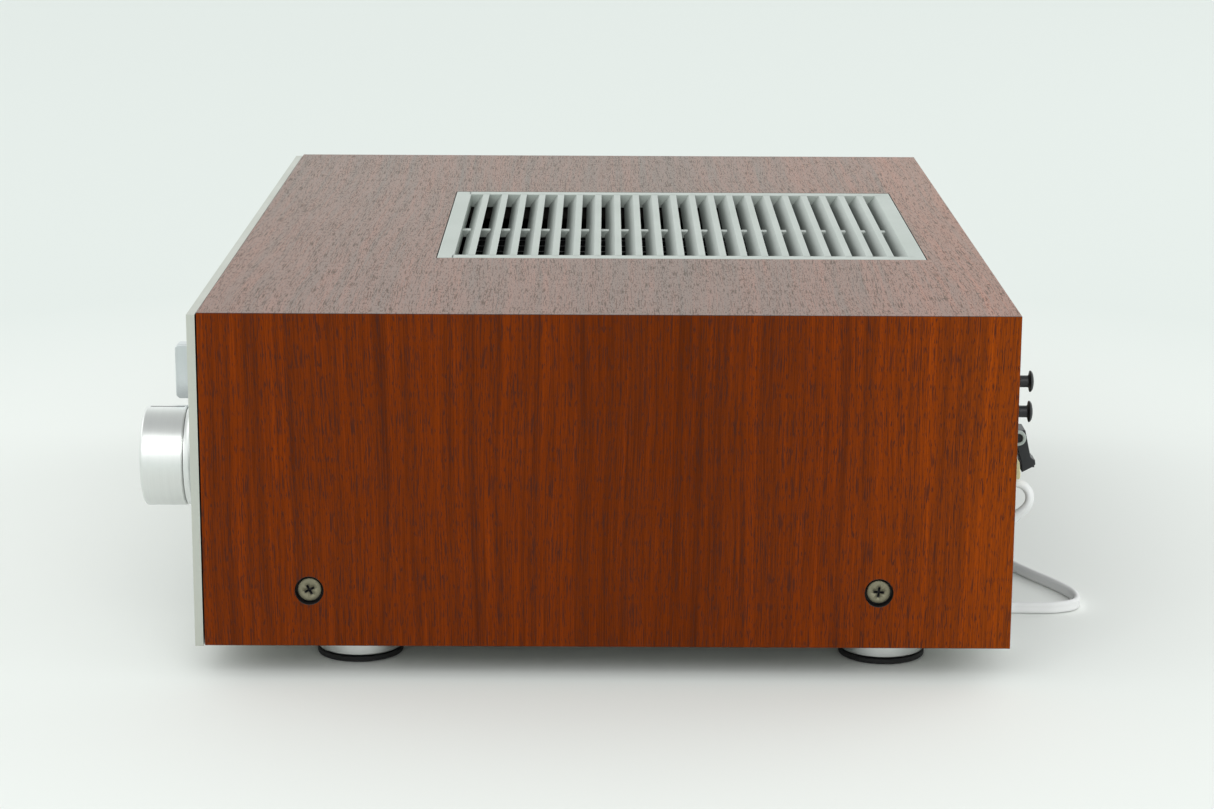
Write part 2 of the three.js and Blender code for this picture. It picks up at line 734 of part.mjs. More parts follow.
// A terminal lever around its pivot at the top: it hangs outward and ends in a finger lip.
function speakerLever() {
  const outline = [
    [-0.8, 2.2],
    [3.6, 2.2],
    [6.3, -9.8],
    [8.2, -11.2],
    [8.5, -13],
    [7.4, -14],
    [2.7, -16.5],
    [2.2, -12],
    [-0.8, -2],
  ];
  const half = SPEAKER_LEVERS.width / 2;
  return geometryOf(prism(outline, -half, half, "x"));
}

// The cord leaves the relief under a small hood.
function strainRelief() {
  const { low, hood, high, width } = RELIEF;
  const outline = [
    [REAR_MOUNT, low],
    [REAR + 4.1, low],
    [REAR + 4.1, hood],
    [REAR + 7.5, hood],
    [REAR + 7.7, hood + 2],
    [REAR + 7, high],
    [REAR_MOUNT, high],
  ];
  const head = prism(outline, -width / 2, width / 2, "x");
  const neck = block([-4.5, 4.5], [REAR - 14, REAR_MOUNT + 1], [low + 1.2, high - 1.2]);
  return geometryOf(joined(head, neck));
}

place("jack_strip", jackStrip(), phenolic);
const plugShape = shortingPlug();
place("shorting_plug_upper", plugShape, blackPlastic, [JACKS.firstX, 0, JACKS.highZ]);
place("shorting_plug_lower", plugShape, blackPlastic, [JACKS.firstX, 0, JACKS.lowZ]);
place("speaker_terminal_block", speakerTerminalBlock(), blackPlastic);
const terminalLever = speakerLever();
for (let i = 0; i < SPEAKER_LEVERS.count; i += 1) {
  const x = SPEAKER_LEVERS.firstX - i * SPEAKER_LEVERS.pitch;
  place(`speaker_lever_${i + 1}`, terminalLever, blackPlastic, [x, leverPivot.y, leverPivot.z]);
}
place("strain_relief", strainRelief(), ivoryNylon, [RELIEF.x, 0, 0]);

// ---------------------------------------------------------------- mains cord, coil and plug

function cordTube(points, steps, sides) {
  const route = new THREE.CatmullRomCurve3(points.map((p) => new THREE.Vector3(...p)));
  const section = new THREE.Shape();
  for (let i = 0; i < sides; i += 1) {
    const angle = (2 * Math.PI * i) / sides;
    const corner = [(CORD_WIDTH / 2) * Math.cos(angle), (CORD_WIDTH / 2) * Math.sin(angle)];
    if (i === 0) section.moveTo(...corner);
    else section.lineTo(...corner);
  }
  section.closePath();
  return solid(new THREE.ExtrudeGeometry(section, { steps, extrudePath: route, bevelEnabled: false }));
}

function coilRing() {
  const { inner, outer, height } = COIL;
  const profile = [[inner, 0], [outer, 0], [outer, height], [inner, height], [inner, 0]];
  return geometryOf(solid(turned(profile, "z", 48)));
}

function mainsPlug() {
  const [halfThickness, shoulder, length] = [6.3, 12, 32];
  const corners = [[-4.5, 0], [-12, -shoulder], [-12, -length], [12, -length], [12, -shoulder], [4.5, 0]];
  const outline = new THREE.Shape(corners.map(([x, y]) => new THREE.Vector2(x, y)));
  const shell = new THREE.ExtrudeGeometry(outline, { depth: 2 * halfThickness, bevelEnabled: false });
  const body = solid(shell.translate(0, 0, -halfThickness));
  const blades = [-6.35, 6.35].map((x) => block([x - 0.75, x + 0.75], [-49, -31], [-3.1, 3.1]));
  return geometryOf(joined(body, ...blades));
}

place("cord_lead", cordTube(CORD_ROUTE, 76, 8), cordVinyl);
place("cord_coil", coilRing(), cordVinyl, [COIL.x, COIL.y, 0]);
place("cord_tail", cordTube(CORD_TAIL, 3, 8), cordVinyl);
place("mains_plug", mainsPlug(), blackPlastic, [PLUG.x, PLUG.y, PLUG.z]);

export default amplifier;
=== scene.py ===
# %% [markdown]
# # An integrated amplifier in a walnut case
# The parts with a real size, a fit or a joint come ready made as a frame of named nodes. This lesson dresses
# them: each visible piece gets its rounded edges, small details and finish. The frame is loaded first, because
# every position below is read from it. Sizes are written in millimetres, the unit such a thing is drawn in, and
# the helpers turn them into Blender's metres.

import json
import math

import bmesh
import bpy
from mathutils import Matrix, Vector


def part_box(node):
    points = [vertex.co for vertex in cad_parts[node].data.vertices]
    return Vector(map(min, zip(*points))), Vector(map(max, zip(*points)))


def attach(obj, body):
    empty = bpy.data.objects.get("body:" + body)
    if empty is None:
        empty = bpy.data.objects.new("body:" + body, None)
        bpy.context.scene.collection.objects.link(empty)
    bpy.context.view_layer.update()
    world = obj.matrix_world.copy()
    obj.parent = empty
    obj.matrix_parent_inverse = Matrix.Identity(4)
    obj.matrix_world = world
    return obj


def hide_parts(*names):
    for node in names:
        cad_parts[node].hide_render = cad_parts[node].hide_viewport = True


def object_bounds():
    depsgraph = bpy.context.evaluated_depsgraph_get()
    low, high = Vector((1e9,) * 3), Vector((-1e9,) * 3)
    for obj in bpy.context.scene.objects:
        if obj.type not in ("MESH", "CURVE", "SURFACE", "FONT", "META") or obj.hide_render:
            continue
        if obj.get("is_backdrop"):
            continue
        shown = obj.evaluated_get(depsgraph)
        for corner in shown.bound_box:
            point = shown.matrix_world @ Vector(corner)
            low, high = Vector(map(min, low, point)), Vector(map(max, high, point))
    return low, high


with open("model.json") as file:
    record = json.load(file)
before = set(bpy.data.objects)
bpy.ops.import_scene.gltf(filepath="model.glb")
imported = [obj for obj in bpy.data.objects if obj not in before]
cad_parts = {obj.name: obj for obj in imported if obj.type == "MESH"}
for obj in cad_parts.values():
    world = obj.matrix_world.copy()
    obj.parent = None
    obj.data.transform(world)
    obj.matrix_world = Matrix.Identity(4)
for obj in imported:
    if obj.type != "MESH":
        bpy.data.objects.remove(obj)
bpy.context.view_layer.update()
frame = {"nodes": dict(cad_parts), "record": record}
MM = 0.001
UP = Vector((0, 0, 1))

# %% [markdown]
# A piece needs two things from the frame: the box of its node, and the body that the node moves with. A table and
# two helpers fetch them, so no place is typed in twice.

# %% Read places from the frame
NODE_BODY = {node: body for body, nodes in frame["record"]["behaviour"]["bodies"].items() for node in nodes}


def box_of(node):
    """A node's lowest and highest corner in millimetres."""
    low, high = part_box(node)
    return low / MM, high / MM


def centre_of(node):
    low, high = box_of(node)
    return (low + high) / 2


CASE_LOW, CASE_HIGH = box_of("wood_cabinet")
PLATE_LOW, PLATE_HIGH = box_of("front_panel")
PANEL = PLATE_LOW.y
print("case in mm:", [round(v, 1) for v in CASE_HIGH - CASE_LOW], "front face at", round(PANEL, 2))

# %% [markdown]
# The camera looks at the right-hand side of the case, a little from above, through a short telephoto lens. Its
# place and its three angles are set first, because the cord must stay inside what it sees or just outside it.

# %% Camera
CAMERA_PLACE = Vector((1370.0, 5.6, 388.8)) * MM
AZIMUTH, ELEVATION, ROLL = (math.radians(a) for a in (89.953, 13.272, 0.271))
camera_data = bpy.data.cameras.new("camera")
camera_data.sensor_width = 36
camera_data.lens = 87.54
camera_data.clip_start = 0.01
camera = bpy.data.objects.new("camera", camera_data)
bpy.context.scene.collection.objects.link(camera)
bpy.context.scene.camera = camera

forward = Vector((
    -math.sin(AZIMUTH) * math.cos(ELEVATION),
    math.cos(AZIMUTH) * math.cos(ELEVATION),
    -math.sin(ELEVATION),
))
level_right = forward.cross(UP).normalized()
level_up = level_right.cross(forward)
right = level_right * math.cos(ROLL) + level_up * math.sin(ROLL)
up = level_up * math.cos(ROLL) - level_right * math.sin(ROLL)
camera.matrix_world = Matrix.Translation(CAMERA_PLACE) @ Matrix((right, up, -forward)).transposed().to_4x4()
print("camera distance in m:", round(CAMERA_PLACE.length, 3))

# %% [markdown]
# The mains cord is a flat twin cord: two round cores side by side with a shallow groove between them. It leaves
# the strain relief, drops behind the rear panel, lies on its edge along the floor in two loose bends, and the
# rest of its length is wound into a coil beside the case. A list of given points carries it to the coil,
# and a loop works out the turns. Sweeping one section along the whole line keeps the cord one unbroken piece.

# %% The cord's line
LEAD = [
    (168, 176.9, 72.1), (168, 179, 72.1), (168, 181.9, 71.2), (168, 184.1, 68.9),
    (168, 185, 65.7), (168, 184.2, 62.5), (168, 182, 59.9), (168, 179, 57.4),
    (168, 176.2, 54.1), (168, 174.6, 49.6), (168, 174.2, 43), (168, 174.2, 31),
    (168, 174.2, 17.6), (163.6, 174.2, 7), (153, 174.2, 3), (141, 174.2, 2.6), (132, 174.2, 2.6),
    (123.5, 177.7, 2.6),
    (120, 186.2, 2.6), (120, 195.5, 2.6), (119.5, 205.5, 2.6), (114, 215, 2.6), (102, 216.6, 2.6),
    (87, 211.5, 2.6), (68, 201.6, 2.6), (49, 193, 2.6), (30, 189.6, 2.6), (-10, 188.6, 2.6),
    (-60, 187.4, 2.6), (-110, 188.4, 2.6), (-160, 190.2, 2.6), (-205, 190.0, 2.6), (-245, 189.85, 2.6),
]
TAIL = [(-294.95, 139.4, 8), (-294.95, 132, 7.2), (-294.95, 124.4, 6.5)]
CORD_WIDTH, CORD_THICKNESS = 5.2, 2.7
COIL_CENTRE = centre_of("cord_coil")
COIL_RADII = (32.95, 30.05, 27.15, 24.25)
COIL_LAYERS = (2.6, 8.0)
TIE_LIFT, TIE_SPREAD = 0.7, 20  # how far the turns rise under the tie, and over how many degrees
STEP_ANGLE, SHIFT_ANGLE = 15, 45  # between points, and to slip from one turn to the next
LAST_ANGLE = 360 * 7 + 90


def coil_turns():
    """The coil's centreline: inward through the lower layer, then outward through the upper one."""
    turns = [(radius, COIL_LAYERS[0]) for radius in COIL_RADII]
    turns += [(radius, COIL_LAYERS[1]) for radius in reversed(COIL_RADII)]
    points = []
    for angle in range(0, LAST_ANGLE + 1, STEP_ANGLE):
        turn, part = divmod(angle, 360)
        radius, height = turns[turn]
        if part > 360 - SHIFT_ANGLE:
            share = (part - 360 + SHIFT_ANGLE) / SHIFT_ANGLE
            share = share * share * (3 - 2 * share)
            radius += (turns[turn + 1][0] - radius) * share
            height += (turns[turn + 1][1] - height) * share
        at = math.radians(90 + angle)
        from_tie = (angle + 90) % 360
        from_tie = min(from_tie, 360 - from_tie)
        height += TIE_LIFT * math.exp(-((from_tie / TIE_SPREAD) ** 2))
        points.append((
            COIL_CENTRE.x + radius * math.cos(at),
            COIL_CENTRE.y + radius * math.sin(at),
            height,
        ))
    return points


SUBSTEPS = 24


def smooth_path(points, spacing):
    """A centripetal Catmull-Rom curve through the points, given back as evenly spaced points."""
    knots = [Vector(p) for p in points]
    knots = [2 * knots[0] - knots[1], *knots, 2 * knots[-1] - knots[-2]]
    dense = []
    for a, b, c, d in zip(knots, knots[1:], knots[2:], knots[3:]):
        t1 = (b - a).length ** 0.5
        t2 = t1 + (c - b).length ** 0.5
        t3 = t2 + (d - c).length ** 0.5
        for step in range(SUBSTEPS):
            t = t1 + (t2 - t1) * step / SUBSTEPS
            ab = a.lerp(b, t / t1)
            bc = b.lerp(c, (t - t1) / (t2 - t1))
            cd = c.lerp(d, (t - t2) / (t3 - t2))
            abc = ab.lerp(bc, t / t2)
            bcd = bc.lerp(cd, (t - t1) / (t3 - t1))
            dense.append(abc.lerp(bcd, (t - t1) / (t2 - t1)))
    dense.append(knots[-2])
    even, walked = [dense[0]], 0.0
    for a, b in zip(dense, dense[1:]):
        length = (b - a).length
        while walked + length >= spacing:
            a = a.lerp(b, (spacing - walked) / length)
            even.append(a)
            length = (b - a).length
            walked = 0.0
        walked += length
    if (dense[-1] - even[-1]).length < spacing / 2:
        even.pop()
    return [*even, dense[-1]]


POINT_SPACING = 1.6
cord_line = smooth_path(LEAD + coil_turns() + TAIL, POINT_SPACING)
for point in cord_line:
    point.z = max(point.z, CORD_WIDTH / 2)

# %% [markdown]
# A cord is a section swept along a line. The section turns with the line, and it turns on to its edge where the
# cord comes down to the floor. The ends are closed, so that the mesh is a solid one.

# %% Helpers that make and sweep a mesh


def new_piece(name, bm, sharp_angle=32):
    """Makes an object at the origin from a bmesh in millimetres, smooth except at its sharp edges."""
    bmesh.ops.scale(bm, vec=(MM, MM, MM), verts=bm.verts)
    for face in bm.faces:
        face.smooth = True
    for edge in bm.edges:
        edge.smooth = edge.is_boundary or edge.calc_face_angle(0.0) < math.radians(sharp_angle)
    mesh = bpy.data.meshes.new(name)
    bm.to_mesh(mesh)
    bm.free()
    piece = bpy.data.objects.new(name, mesh)
    bpy.context.scene.collection.objects.link(piece)
    return piece


NEAR_FLOOR, LEAST_UPRIGHT, TURN_SHARE = 12, 0.8, 0.12


def sweep(name, line, section, wide, twist_length=26, twist=80):
    """Sweeps a closed section along a line. Its first axis starts along wide, and stands up on the floor."""
    bm = bmesh.new()
    rings = []
    walked = 0.0
    for i, point in enumerate(line):
        before, after = line[max(i - 1, 0)], line[min(i + 1, len(line) - 1)]
        tangent = (after - before).normalized()
        wide = (wide - tangent * wide.dot(tangent)).normalized()
        step = (point - before).length
        if walked < twist_length:
            wide = Matrix.Rotation(math.radians(twist * step / twist_length), 3, tangent) @ wide
        walked += step
        upright = UP - tangent * tangent.z
        if point.z < NEAR_FLOOR and upright.length > LEAST_UPRIGHT:
            upright = upright.normalized() * (1 if upright.dot(wide) > 0 else -1)
            wide = wide.lerp(upright, TURN_SHARE).normalized()
        thick = tangent.cross(wide)
        rings.append([bm.verts.new(point + wide * u + thick * v) for u, v in section])
    count = len(section)
    for near, far in zip(rings, rings[1:]):
        for k in range(count):
            bm.faces.new((near[k], near[(k + 1) % count], far[(k + 1) % count], far[k]))
    bm.faces.new(reversed(rings[0]))
    bm.faces.new(rings[-1])
    bmesh.ops.recalc_face_normals(bm, faces=bm.faces)
    return new_piece(name, bm, 60)


def twin_section(width, thickness, groove, sides=20):
    """Two round cores side by side: half-thickness follows each core, but never sinks below the groove."""
    core = thickness / 2
    offset = width / 2 - core
    points = []
    for k in range(sides):
        angle = 2 * math.pi * k / sides
        u = width / 2 * math.cos(angle)
        beyond = abs(u) - offset
        v = math.sqrt(max(core * core - beyond * beyond, 0))
        if beyond < 0:
            v = max(v, core - groove)
        points.append((u, math.copysign(v, math.sin(angle)) if k % (sides // 2) else 0.0))
    return points


# %% [markdown]
# The cord is swept with the section of two joined cores. It replaces the three plain cord solids of the frame.

# %% The cord
GROOVE_DEPTH = 0.25
cord_section = twin_section(CORD_WIDTH, CORD_THICKNESS, GROOVE_DEPTH)
mains_cord = sweep("mains_cord", cord_line, cord_section, Vector((1, 0, 0)))
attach(mains_cord, "housing")
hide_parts("cord_lead", "cord_coil", "cord_tail")
print("cord faces:", len(mains_cord.data.polygons))

# %% [markdown]
# The set is a plain pale floor with a soft white room round it. A wide softbox stands beside the camera, so the
# side of the case is evenly lit and the metal has something white to mirror, and the sky is greyer overhead than
# at the horizon, which gives turned metal its grey upper band.

# %% Sky and softboxes


def add(tree, kind, sockets=None, **settings):
    """Adds a node, sets its properties, and fills its inputs with values or with other nodes' outputs."""
    made = tree.nodes.new(kind)
    for name, value in settings.items():
        setattr(made, name, value)
    for name, value in (sockets or {}).items():
        if isinstance(value, bpy.types.NodeSocket):
            tree.links.new(value, made.inputs[name])
        else:
            made.inputs[name].default_value = value
    return made


def colour(red, green, blue):
    """A colour given as 0 to 255 display values, as the linear RGBA that the shaders use."""
    linear = [(c / 255 / 12.92) if c < 10.3 else ((c / 255 + 0.055) / 1.055) ** 2.4 for c in (red, green, blue)]
    return (*linear, 1.0)


def ramp(tree, factor, stops):
    """A colour ramp from (position, colour) pairs."""
    made = add(tree, "ShaderNodeValToRGB", {"Fac": factor})
    elements = made.color_ramp.elements
    while len(elements) < len(stops):
        elements.new(0.5)
    for element, (position, value) in zip(elements, stops):
        element.position = position
        element.color = value
    return made.outputs["Color"]


def grey(value):
    return (value, value, value, 1.0)


def maths(tree, operation, a, b=0.0):
    """The output of one math node on two values or sockets."""
    made = add(tree, "ShaderNodeMath", {0: a, 1: b}, operation=operation)
    return made.outputs["Value"]


sky = bpy.data.worlds.new("soft_room")
sky.use_nodes = True
bpy.context.scene.world = sky
background = sky.node_tree.nodes["Background"]
direction = add(sky.node_tree, "ShaderNodeTexCoord")
height = add(sky.node_tree, "ShaderNodeSeparateXYZ", {"Vector": direction.outputs["Generated"]})
sky_colour = ramp(sky.node_tree, height.outputs["Z"], [
    (0.0, (0.72, 0.75, 0.74, 1)),
    (0.10, (0.87, 0.90, 0.89, 1)),
    (0.45, (0.92, 0.95, 0.94, 1)),
    (0.80, (0.56, 0.58, 0.57, 1)),
    (1.0, (0.46, 0.47, 0.47, 1)),
])
sky.node_tree.links.new(sky_colour, background.inputs["Color"])
background.inputs["Strength"].default_value = 1.3


def softbox(name, place, target, size, power):
    """A rectangular area light at a place, facing a target, in metres and watts."""
    light = bpy.data.lights.new(name, "AREA")
    light.shape = "RECTANGLE"
    light.size, light.size_y = size
    light.energy = power
    lamp = bpy.data.objects.new(name, light)
    bpy.context.scene.collection.objects.link(lamp)
    aim = (Vector(target) - Vector(place)).to_track_quat("-Z", "Y").to_matrix().to_4x4()
    lamp.matrix_world = Matrix.Translation(place) @ aim


AIM = (0, 0, 0.1)
softbox("key_softbox", (2.4, -0.3, 1.9), AIM, (3.2, 1.6), 31)
softbox("rear_softbox", (-1.2, 2.2, 1.8), AIM, (1.8, 1.2), 8)
softbox("front_softbox", (-0.6, -2.4, 1.5), AIM, (1.8, 1.2), 5)
print("lights:", len(bpy.data.lights))

# %% [markdown]
# The floor is one large sheet a hair below the object. Its colour is a little paler under and near the object than
# further out: painted light, the pool that a close studio light throws on its sweep. It has almost no gloss.

# %% Floor
FLOOR_HALF, FLOOR_GAP, FADE_LENGTH = 9000, 0.2, 3.0
bm = bmesh.new()
bmesh.ops.create_grid(bm, x_segments=1, y_segments=1, size=FLOOR_HALF)
floor = new_piece("floor", bm)
floor.location.z = -FLOOR_GAP * MM
floor_paint = bpy.data.materials.new("pale_floor")
floor_paint.use_nodes = True
floor_shader = floor_paint.node_tree.nodes["Principled BSDF"]
floor_tree = floor_paint.node_tree
floor_place = add(floor_tree, "ShaderNodeTexCoord").outputs["Object"]
floor_reach = add(floor_tree, "ShaderNodeVectorMath", {0: floor_place}, operation="LENGTH")
# Painted light: the floor's colour is paler in a pool round the object.
floor_light_pool = ramp(floor_tree, maths(floor_tree, "DIVIDE", floor_reach.outputs["Value"], FADE_LENGTH), [
    (0.08, colour(238, 240, 237)),
    (0.22, colour(223, 228, 225)),
    (1.0, colour(232, 237, 234)),
])
floor_tree.links.new(floor_light_pool, floor_shader.inputs["Base Color"])
floor_shader.inputs["Roughness"].default_value = 0.8
floor_shader.inputs["Specular IOR Level"].default_value = 0.1
floor.data.materials.append(floor_paint)
floor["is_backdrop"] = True
bpy.context.scene.view_settings.view_transform = "Standard"
print("floor side in m:", 2 * FLOOR_HALF * MM)

# %% [markdown]
# Finishes share a few surface effects, so each effect is a node group that is built once: fine brushing, a
# moulded or cast texture, smudges that vary the gloss, and worn edges. A group only puts out values, colours and
# heights. The shader itself stays in each material, where its plain numbers are set on its own sockets.

# %% Node groups that the finishes share


def shader_group(name, inputs, outputs):
    """An empty shader node group with (name, socket type, default) inputs and (name, socket type) outputs."""
    group = bpy.data.node_groups.new(name, "ShaderNodeTree")
    for socket, kind, default in inputs:
        made = group.interface.new_socket(socket, in_out="INPUT", socket_type=kind)
        if default is not None:
            made.default_value = default
    for socket, kind in outputs:
        group.interface.new_socket(socket, in_out="OUTPUT", socket_type=kind)
    return group, group.nodes.new("NodeGroupInput"), group.nodes.new("NodeGroupOutput")


def remap(tree, value, low, high, to_low=0.0, to_high=1.0):
    sockets = {"Value": value, "From Min": low, "From Max": high, "To Min": to_low, "To Max": to_high}
    return add(tree, "ShaderNodeMapRange", sockets).outputs["Result"]


def noise(tree, vector, scale=1.0, detail=2.0, roughness=0.5):
    sockets = {"Vector": vector, "Scale": scale, "Detail": detail, "Roughness": roughness}
    return add(tree, "ShaderNodeTexNoise", sockets).outputs["Fac"]


def stretched(tree, vector, by):
    """A vector multiplied by another, so that a pattern is drawn out along one axis."""
    made = add(tree, "ShaderNodeVectorMath", {0: vector, 1: by}, operation="MULTIPLY")
    return made.outputs["Vector"]


def blended(tree, factor, a, b, mode="MIX"):
    """Two colours mixed by a factor."""
    made = add(tree, "ShaderNodeMix", data_type="RGBA", blend_type=mode)
    for socket, value in ((0, factor), (6, a), (7, b)):
        if isinstance(value, bpy.types.NodeSocket):
            tree.links.new(value, made.inputs[socket])
        else:
            made.inputs[socket].default_value = value
    return made.outputs[2]


VECTOR, FLOAT, COLOR = "NodeSocketVector", "NodeSocketFloat", "NodeSocketColor"

brushing, inside, outside = shader_group(
    "brushing",
    [("Vector", VECTOR, None), ("Lines", VECTOR, (20, 20, 3000))],
    [("Shade", FLOAT), ("Height", FLOAT)],
)
lines = stretched(brushing, inside.outputs["Vector"], inside.outputs["Lines"])
fine = noise(brushing, lines, 1.0, 4.0, 0.65)
broad = noise(brushing, lines, 0.12, 2.0, 0.5)
brushing.links.new(maths(brushing, "ADD", maths(brushing, "MULTIPLY", fine, 0.6),
                         maths(brushing, "MULTIPLY", broad, 0.4)), outside.inputs["Shade"])
brushing.links.new(fine, outside.inputs["Height"])

cast, inside, outside = shader_group(
    "cast_texture",
    [("Vector", VECTOR, None), ("Grain", FLOAT, 900.0)],
    [("Height", FLOAT), ("Speckle", FLOAT)],
)
grains = noise(cast, inside.outputs["Vector"], inside.outputs["Grain"], 3.0, 0.6)
cast.links.new(grains, outside.inputs["Height"])
cast.links.new(remap(cast, grains, 0.35, 0.65), outside.inputs["Speckle"])

smudges, inside, outside = shader_group(
    "smudges", [("Vector", VECTOR, None), ("Size", FLOAT, 14.0)], [("Amount", FLOAT)]
)
clouds = noise(smudges, inside.outputs["Vector"], inside.outputs["Size"], 5.0, 0.6)
smudges.links.new(remap(smudges, clouds, 0.3, 0.7), outside.inputs["Amount"])

edge_wear, inside, outside = shader_group(
    "edge_wear", [("Vector", VECTOR, None), ("Reach", FLOAT, 0.0006)], [("Mask", FLOAT)]
)
rounded = add(edge_wear, "ShaderNodeBevel", {"Radius": inside.outputs["Reach"]}, samples=4)
flat = add(edge_wear, "ShaderNodeNewGeometry")
turned_by = add(edge_wear, "ShaderNodeVectorMath", {0: rounded.outputs["Normal"], 1: flat.outputs["Normal"]},
                operation="DOT_PRODUCT")
patches = noise(edge_wear, inside.outputs["Vector"], 260.0, 3.0, 0.6)
worn = maths(edge_wear, "MULTIPLY", remap(edge_wear, turned_by.outputs["Value"], 0.995, 0.93),
             remap(edge_wear, patches, 0.42, 0.62))
edge_wear.links.new(worn, outside.inputs["Mask"])
print("shared effects:", [group.name for group in bpy.data.node_groups])

# %% [markdown]
# Walnut veneer is what one sees first. Its grain runs up one side, over the top and down the other without a
# break, so the case carries a UV map that unrolls the three boards: across the grain in one direction and along it
# in the other. Broad growth bands set the colour, fine fibres vary it, and the pores are short dark dashes that
# follow the grain, thicker in some bands than in others. Pores are also slightly sunken and duller.

# %% Walnut veneer group
veneer, inside, outside = shader_group(
    "walnut_veneer",
    [("Vector", VECTOR, None), ("Pores", FLOAT, 1.0)],
    [("Color", COLOR), ("Roughness", FLOAT), ("Height", FLOAT)],
)
grain_place = inside.outputs["Vector"]
sway = noise(veneer, stretched(veneer, grain_place, (5, 2.2, 1)), 1.0, 2.0, 0.5)
sway = maths(veneer, "MULTIPLY", maths(veneer, "SUBTRACT", sway, 0.5), 0.03)
swayed = add(veneer, "ShaderNodeCombineXYZ", {"X": sway})
grain_place = add(veneer, "ShaderNodeVectorMath", {0: grain_place, 1: swayed.outputs["Vector"]}).outputs["Vector"]
bands = noise(veneer, stretched(veneer, grain_place, (210, 2.6, 1)), 1.0, 5.0, 0.68)
band_colour = ramp(veneer, bands, [
    (0.30, colour(102, 42, 15)),
    (0.46, colour(127, 52, 10)),
    (0.58, colour(142, 57, 6)),
    (0.74, colour(155, 64, 7)),
])
across = add(veneer, "ShaderNodeSeparateXYZ", {"Vector": inside.outputs["Vector"]})
figure = ramp(veneer, remap(veneer, across.outputs["X"], -0.16, 0.175), [
    (0.0, grey(0.70)), (0.42, grey(0.68)), (0.47, grey(0.56)), (0.51, grey(0.66)), (0.56, grey(0.52)),
    (0.62, grey(0.67)), (0.74, grey(0.74)), (0.88, (0.92, 0.98, 0.86, 1)),
    (1.0, (1.15, 1.32, 1.05, 1)),
])
tinted = blended(veneer, 1.0, band_colour, figure, "MULTIPLY")
fibres = noise(veneer, stretched(veneer, grain_place, (2300, 24, 1)), 1.0, 4.0, 0.65)
tinted = blended(veneer, 1.0, tinted, ramp(veneer, fibres, [(0.32, grey(0.56)), (0.66, grey(1.0))]), "MULTIPLY")
crowd = noise(veneer, stretched(veneer, grain_place, (260, 14, 1)), 1.0, 3.0, 0.6)
long_pores = noise(veneer, stretched(veneer, grain_place, (1900, 75, 1)), 1.0, 1.5, 0.5)
short_pores = noise(veneer, stretched(veneer, grain_place, (2600, 260, 1)), 1.0, 1.5, 0.5)
threshold = remap(veneer, crowd, 0.32, 0.68, 0.61, 0.54)
long_mask = maths(veneer, "MULTIPLY", maths(veneer, "SUBTRACT", long_pores, threshold), 11.0)
short_mask = maths(veneer, "MULTIPLY", maths(veneer, "SUBTRACT", short_pores, threshold), 11.0)
both = add(veneer, "ShaderNodeClamp", {"Value": maths(veneer, "MAXIMUM", long_mask, short_mask)})
pores = maths(veneer, "MULTIPLY", both.outputs["Result"], inside.outputs["Pores"])
veneer.links.new(blended(veneer, maths(veneer, "MULTIPLY", pores, 0.8), tinted, colour(58, 30, 24)),
                 outside.inputs["Color"])
veneer.links.new(remap(veneer, pores, 0.0, 1.0, 0.36, 0.6), outside.inputs["Roughness"])
raised = maths(veneer, "SUBTRACT", maths(veneer, "MULTIPLY", fibres, 0.25), pores)
veneer.links.new(raised, outside.inputs["Height"])
print("veneer nodes:", len(veneer.nodes))

# %% [markdown]
# Each finish is one material. A small function makes the material and its shader, and others lay the shared
# effects over it, so a finish reads as a line or two: what it is made of, how glossy it is, and which effect
# breaks its surface up.

# %% Finishes


class Finish:
    """A material with its shader at hand. Coordinates are the piece's own: Object, or UV where it has a map."""

    def __init__(self, name, base, roughness, metallic=0.0, coordinates="Object", **more):
        self.material = bpy.data.materials.new(name)
        self.material.use_nodes = True
        self.tree = self.material.node_tree
        self.shader = self.tree.nodes["Principled BSDF"]
        self.base, self.roughness = base, roughness
        values = {"Base Color": base, "Roughness": roughness, "Metallic": metallic, **more}
        for socket, value in values.items():
            self.shader.inputs[socket].default_value = value
        self.place = add(self.tree, "ShaderNodeTexCoord").outputs[coordinates]
        self.material.diffuse_color = base

    def placed(self, tree, **inputs):
        """Sets one of the shared effects in this material, with its own values."""
        made = add(self.tree, "ShaderNodeGroup", node_tree=tree)
        for socket, value in inputs.items():
            made.inputs[socket].default_value = value
        self.tree.links.new(self.place, made.inputs["Vector"])
        return made

    def bump(self, height, distance, strength=0.5):
        made = add(self.tree, "ShaderNodeBump", {"Height": height, "Distance": distance, "Strength": strength})
        self.tree.links.new(made.outputs["Normal"], self.shader.inputs["Normal"])
        return self

    def shaded(self, factor, spread):
        """Varies the base colour by a factor, from darker to lighter by a share of spread."""
        dark = tuple(c * (1 - spread) for c in self.base[:3]) + (1.0,)
        pale = tuple(min(c * (1 + spread), 1.0) for c in self.base[:3]) + (1.0,)
        self.tint = blended(self.tree, factor, dark, pale)
        self.tree.links.new(self.tint, self.shader.inputs["Base Color"])
        return self

    def glossed(self, factor, low, high):
        self.tree.links.new(remap(self.tree, factor, 0.0, 1.0, low, high), self.shader.inputs["Roughness"])
        return self

    def worn(self, edge_colour):
        """Shows another colour on worn edges."""
        mask = self.placed(edge_wear).outputs["Mask"]
        under = getattr(self, "tint", self.base)
        self.tree.links.new(blended(self.tree, mask, under, edge_colour), self.shader.inputs["Base Color"])
        return self


def brushed_metal(name, base, roughness, line_scale, coordinates="Object", depth=0.00002):
    """Metal with fine lines. The scale is high across the lines and low along them."""
    finish = Finish(name, base, roughness, 1.0, coordinates)
    brush = finish.placed(brushing, Lines=line_scale)
    finish.shaded(brush.outputs["Shade"], 0.10)
    finish.glossed(finish.placed(smudges, Size=30.0).outputs["Amount"], roughness - 0.04, roughness + 0.05)
    return finish.bump(brush.outputs["Height"], depth, 0.35)


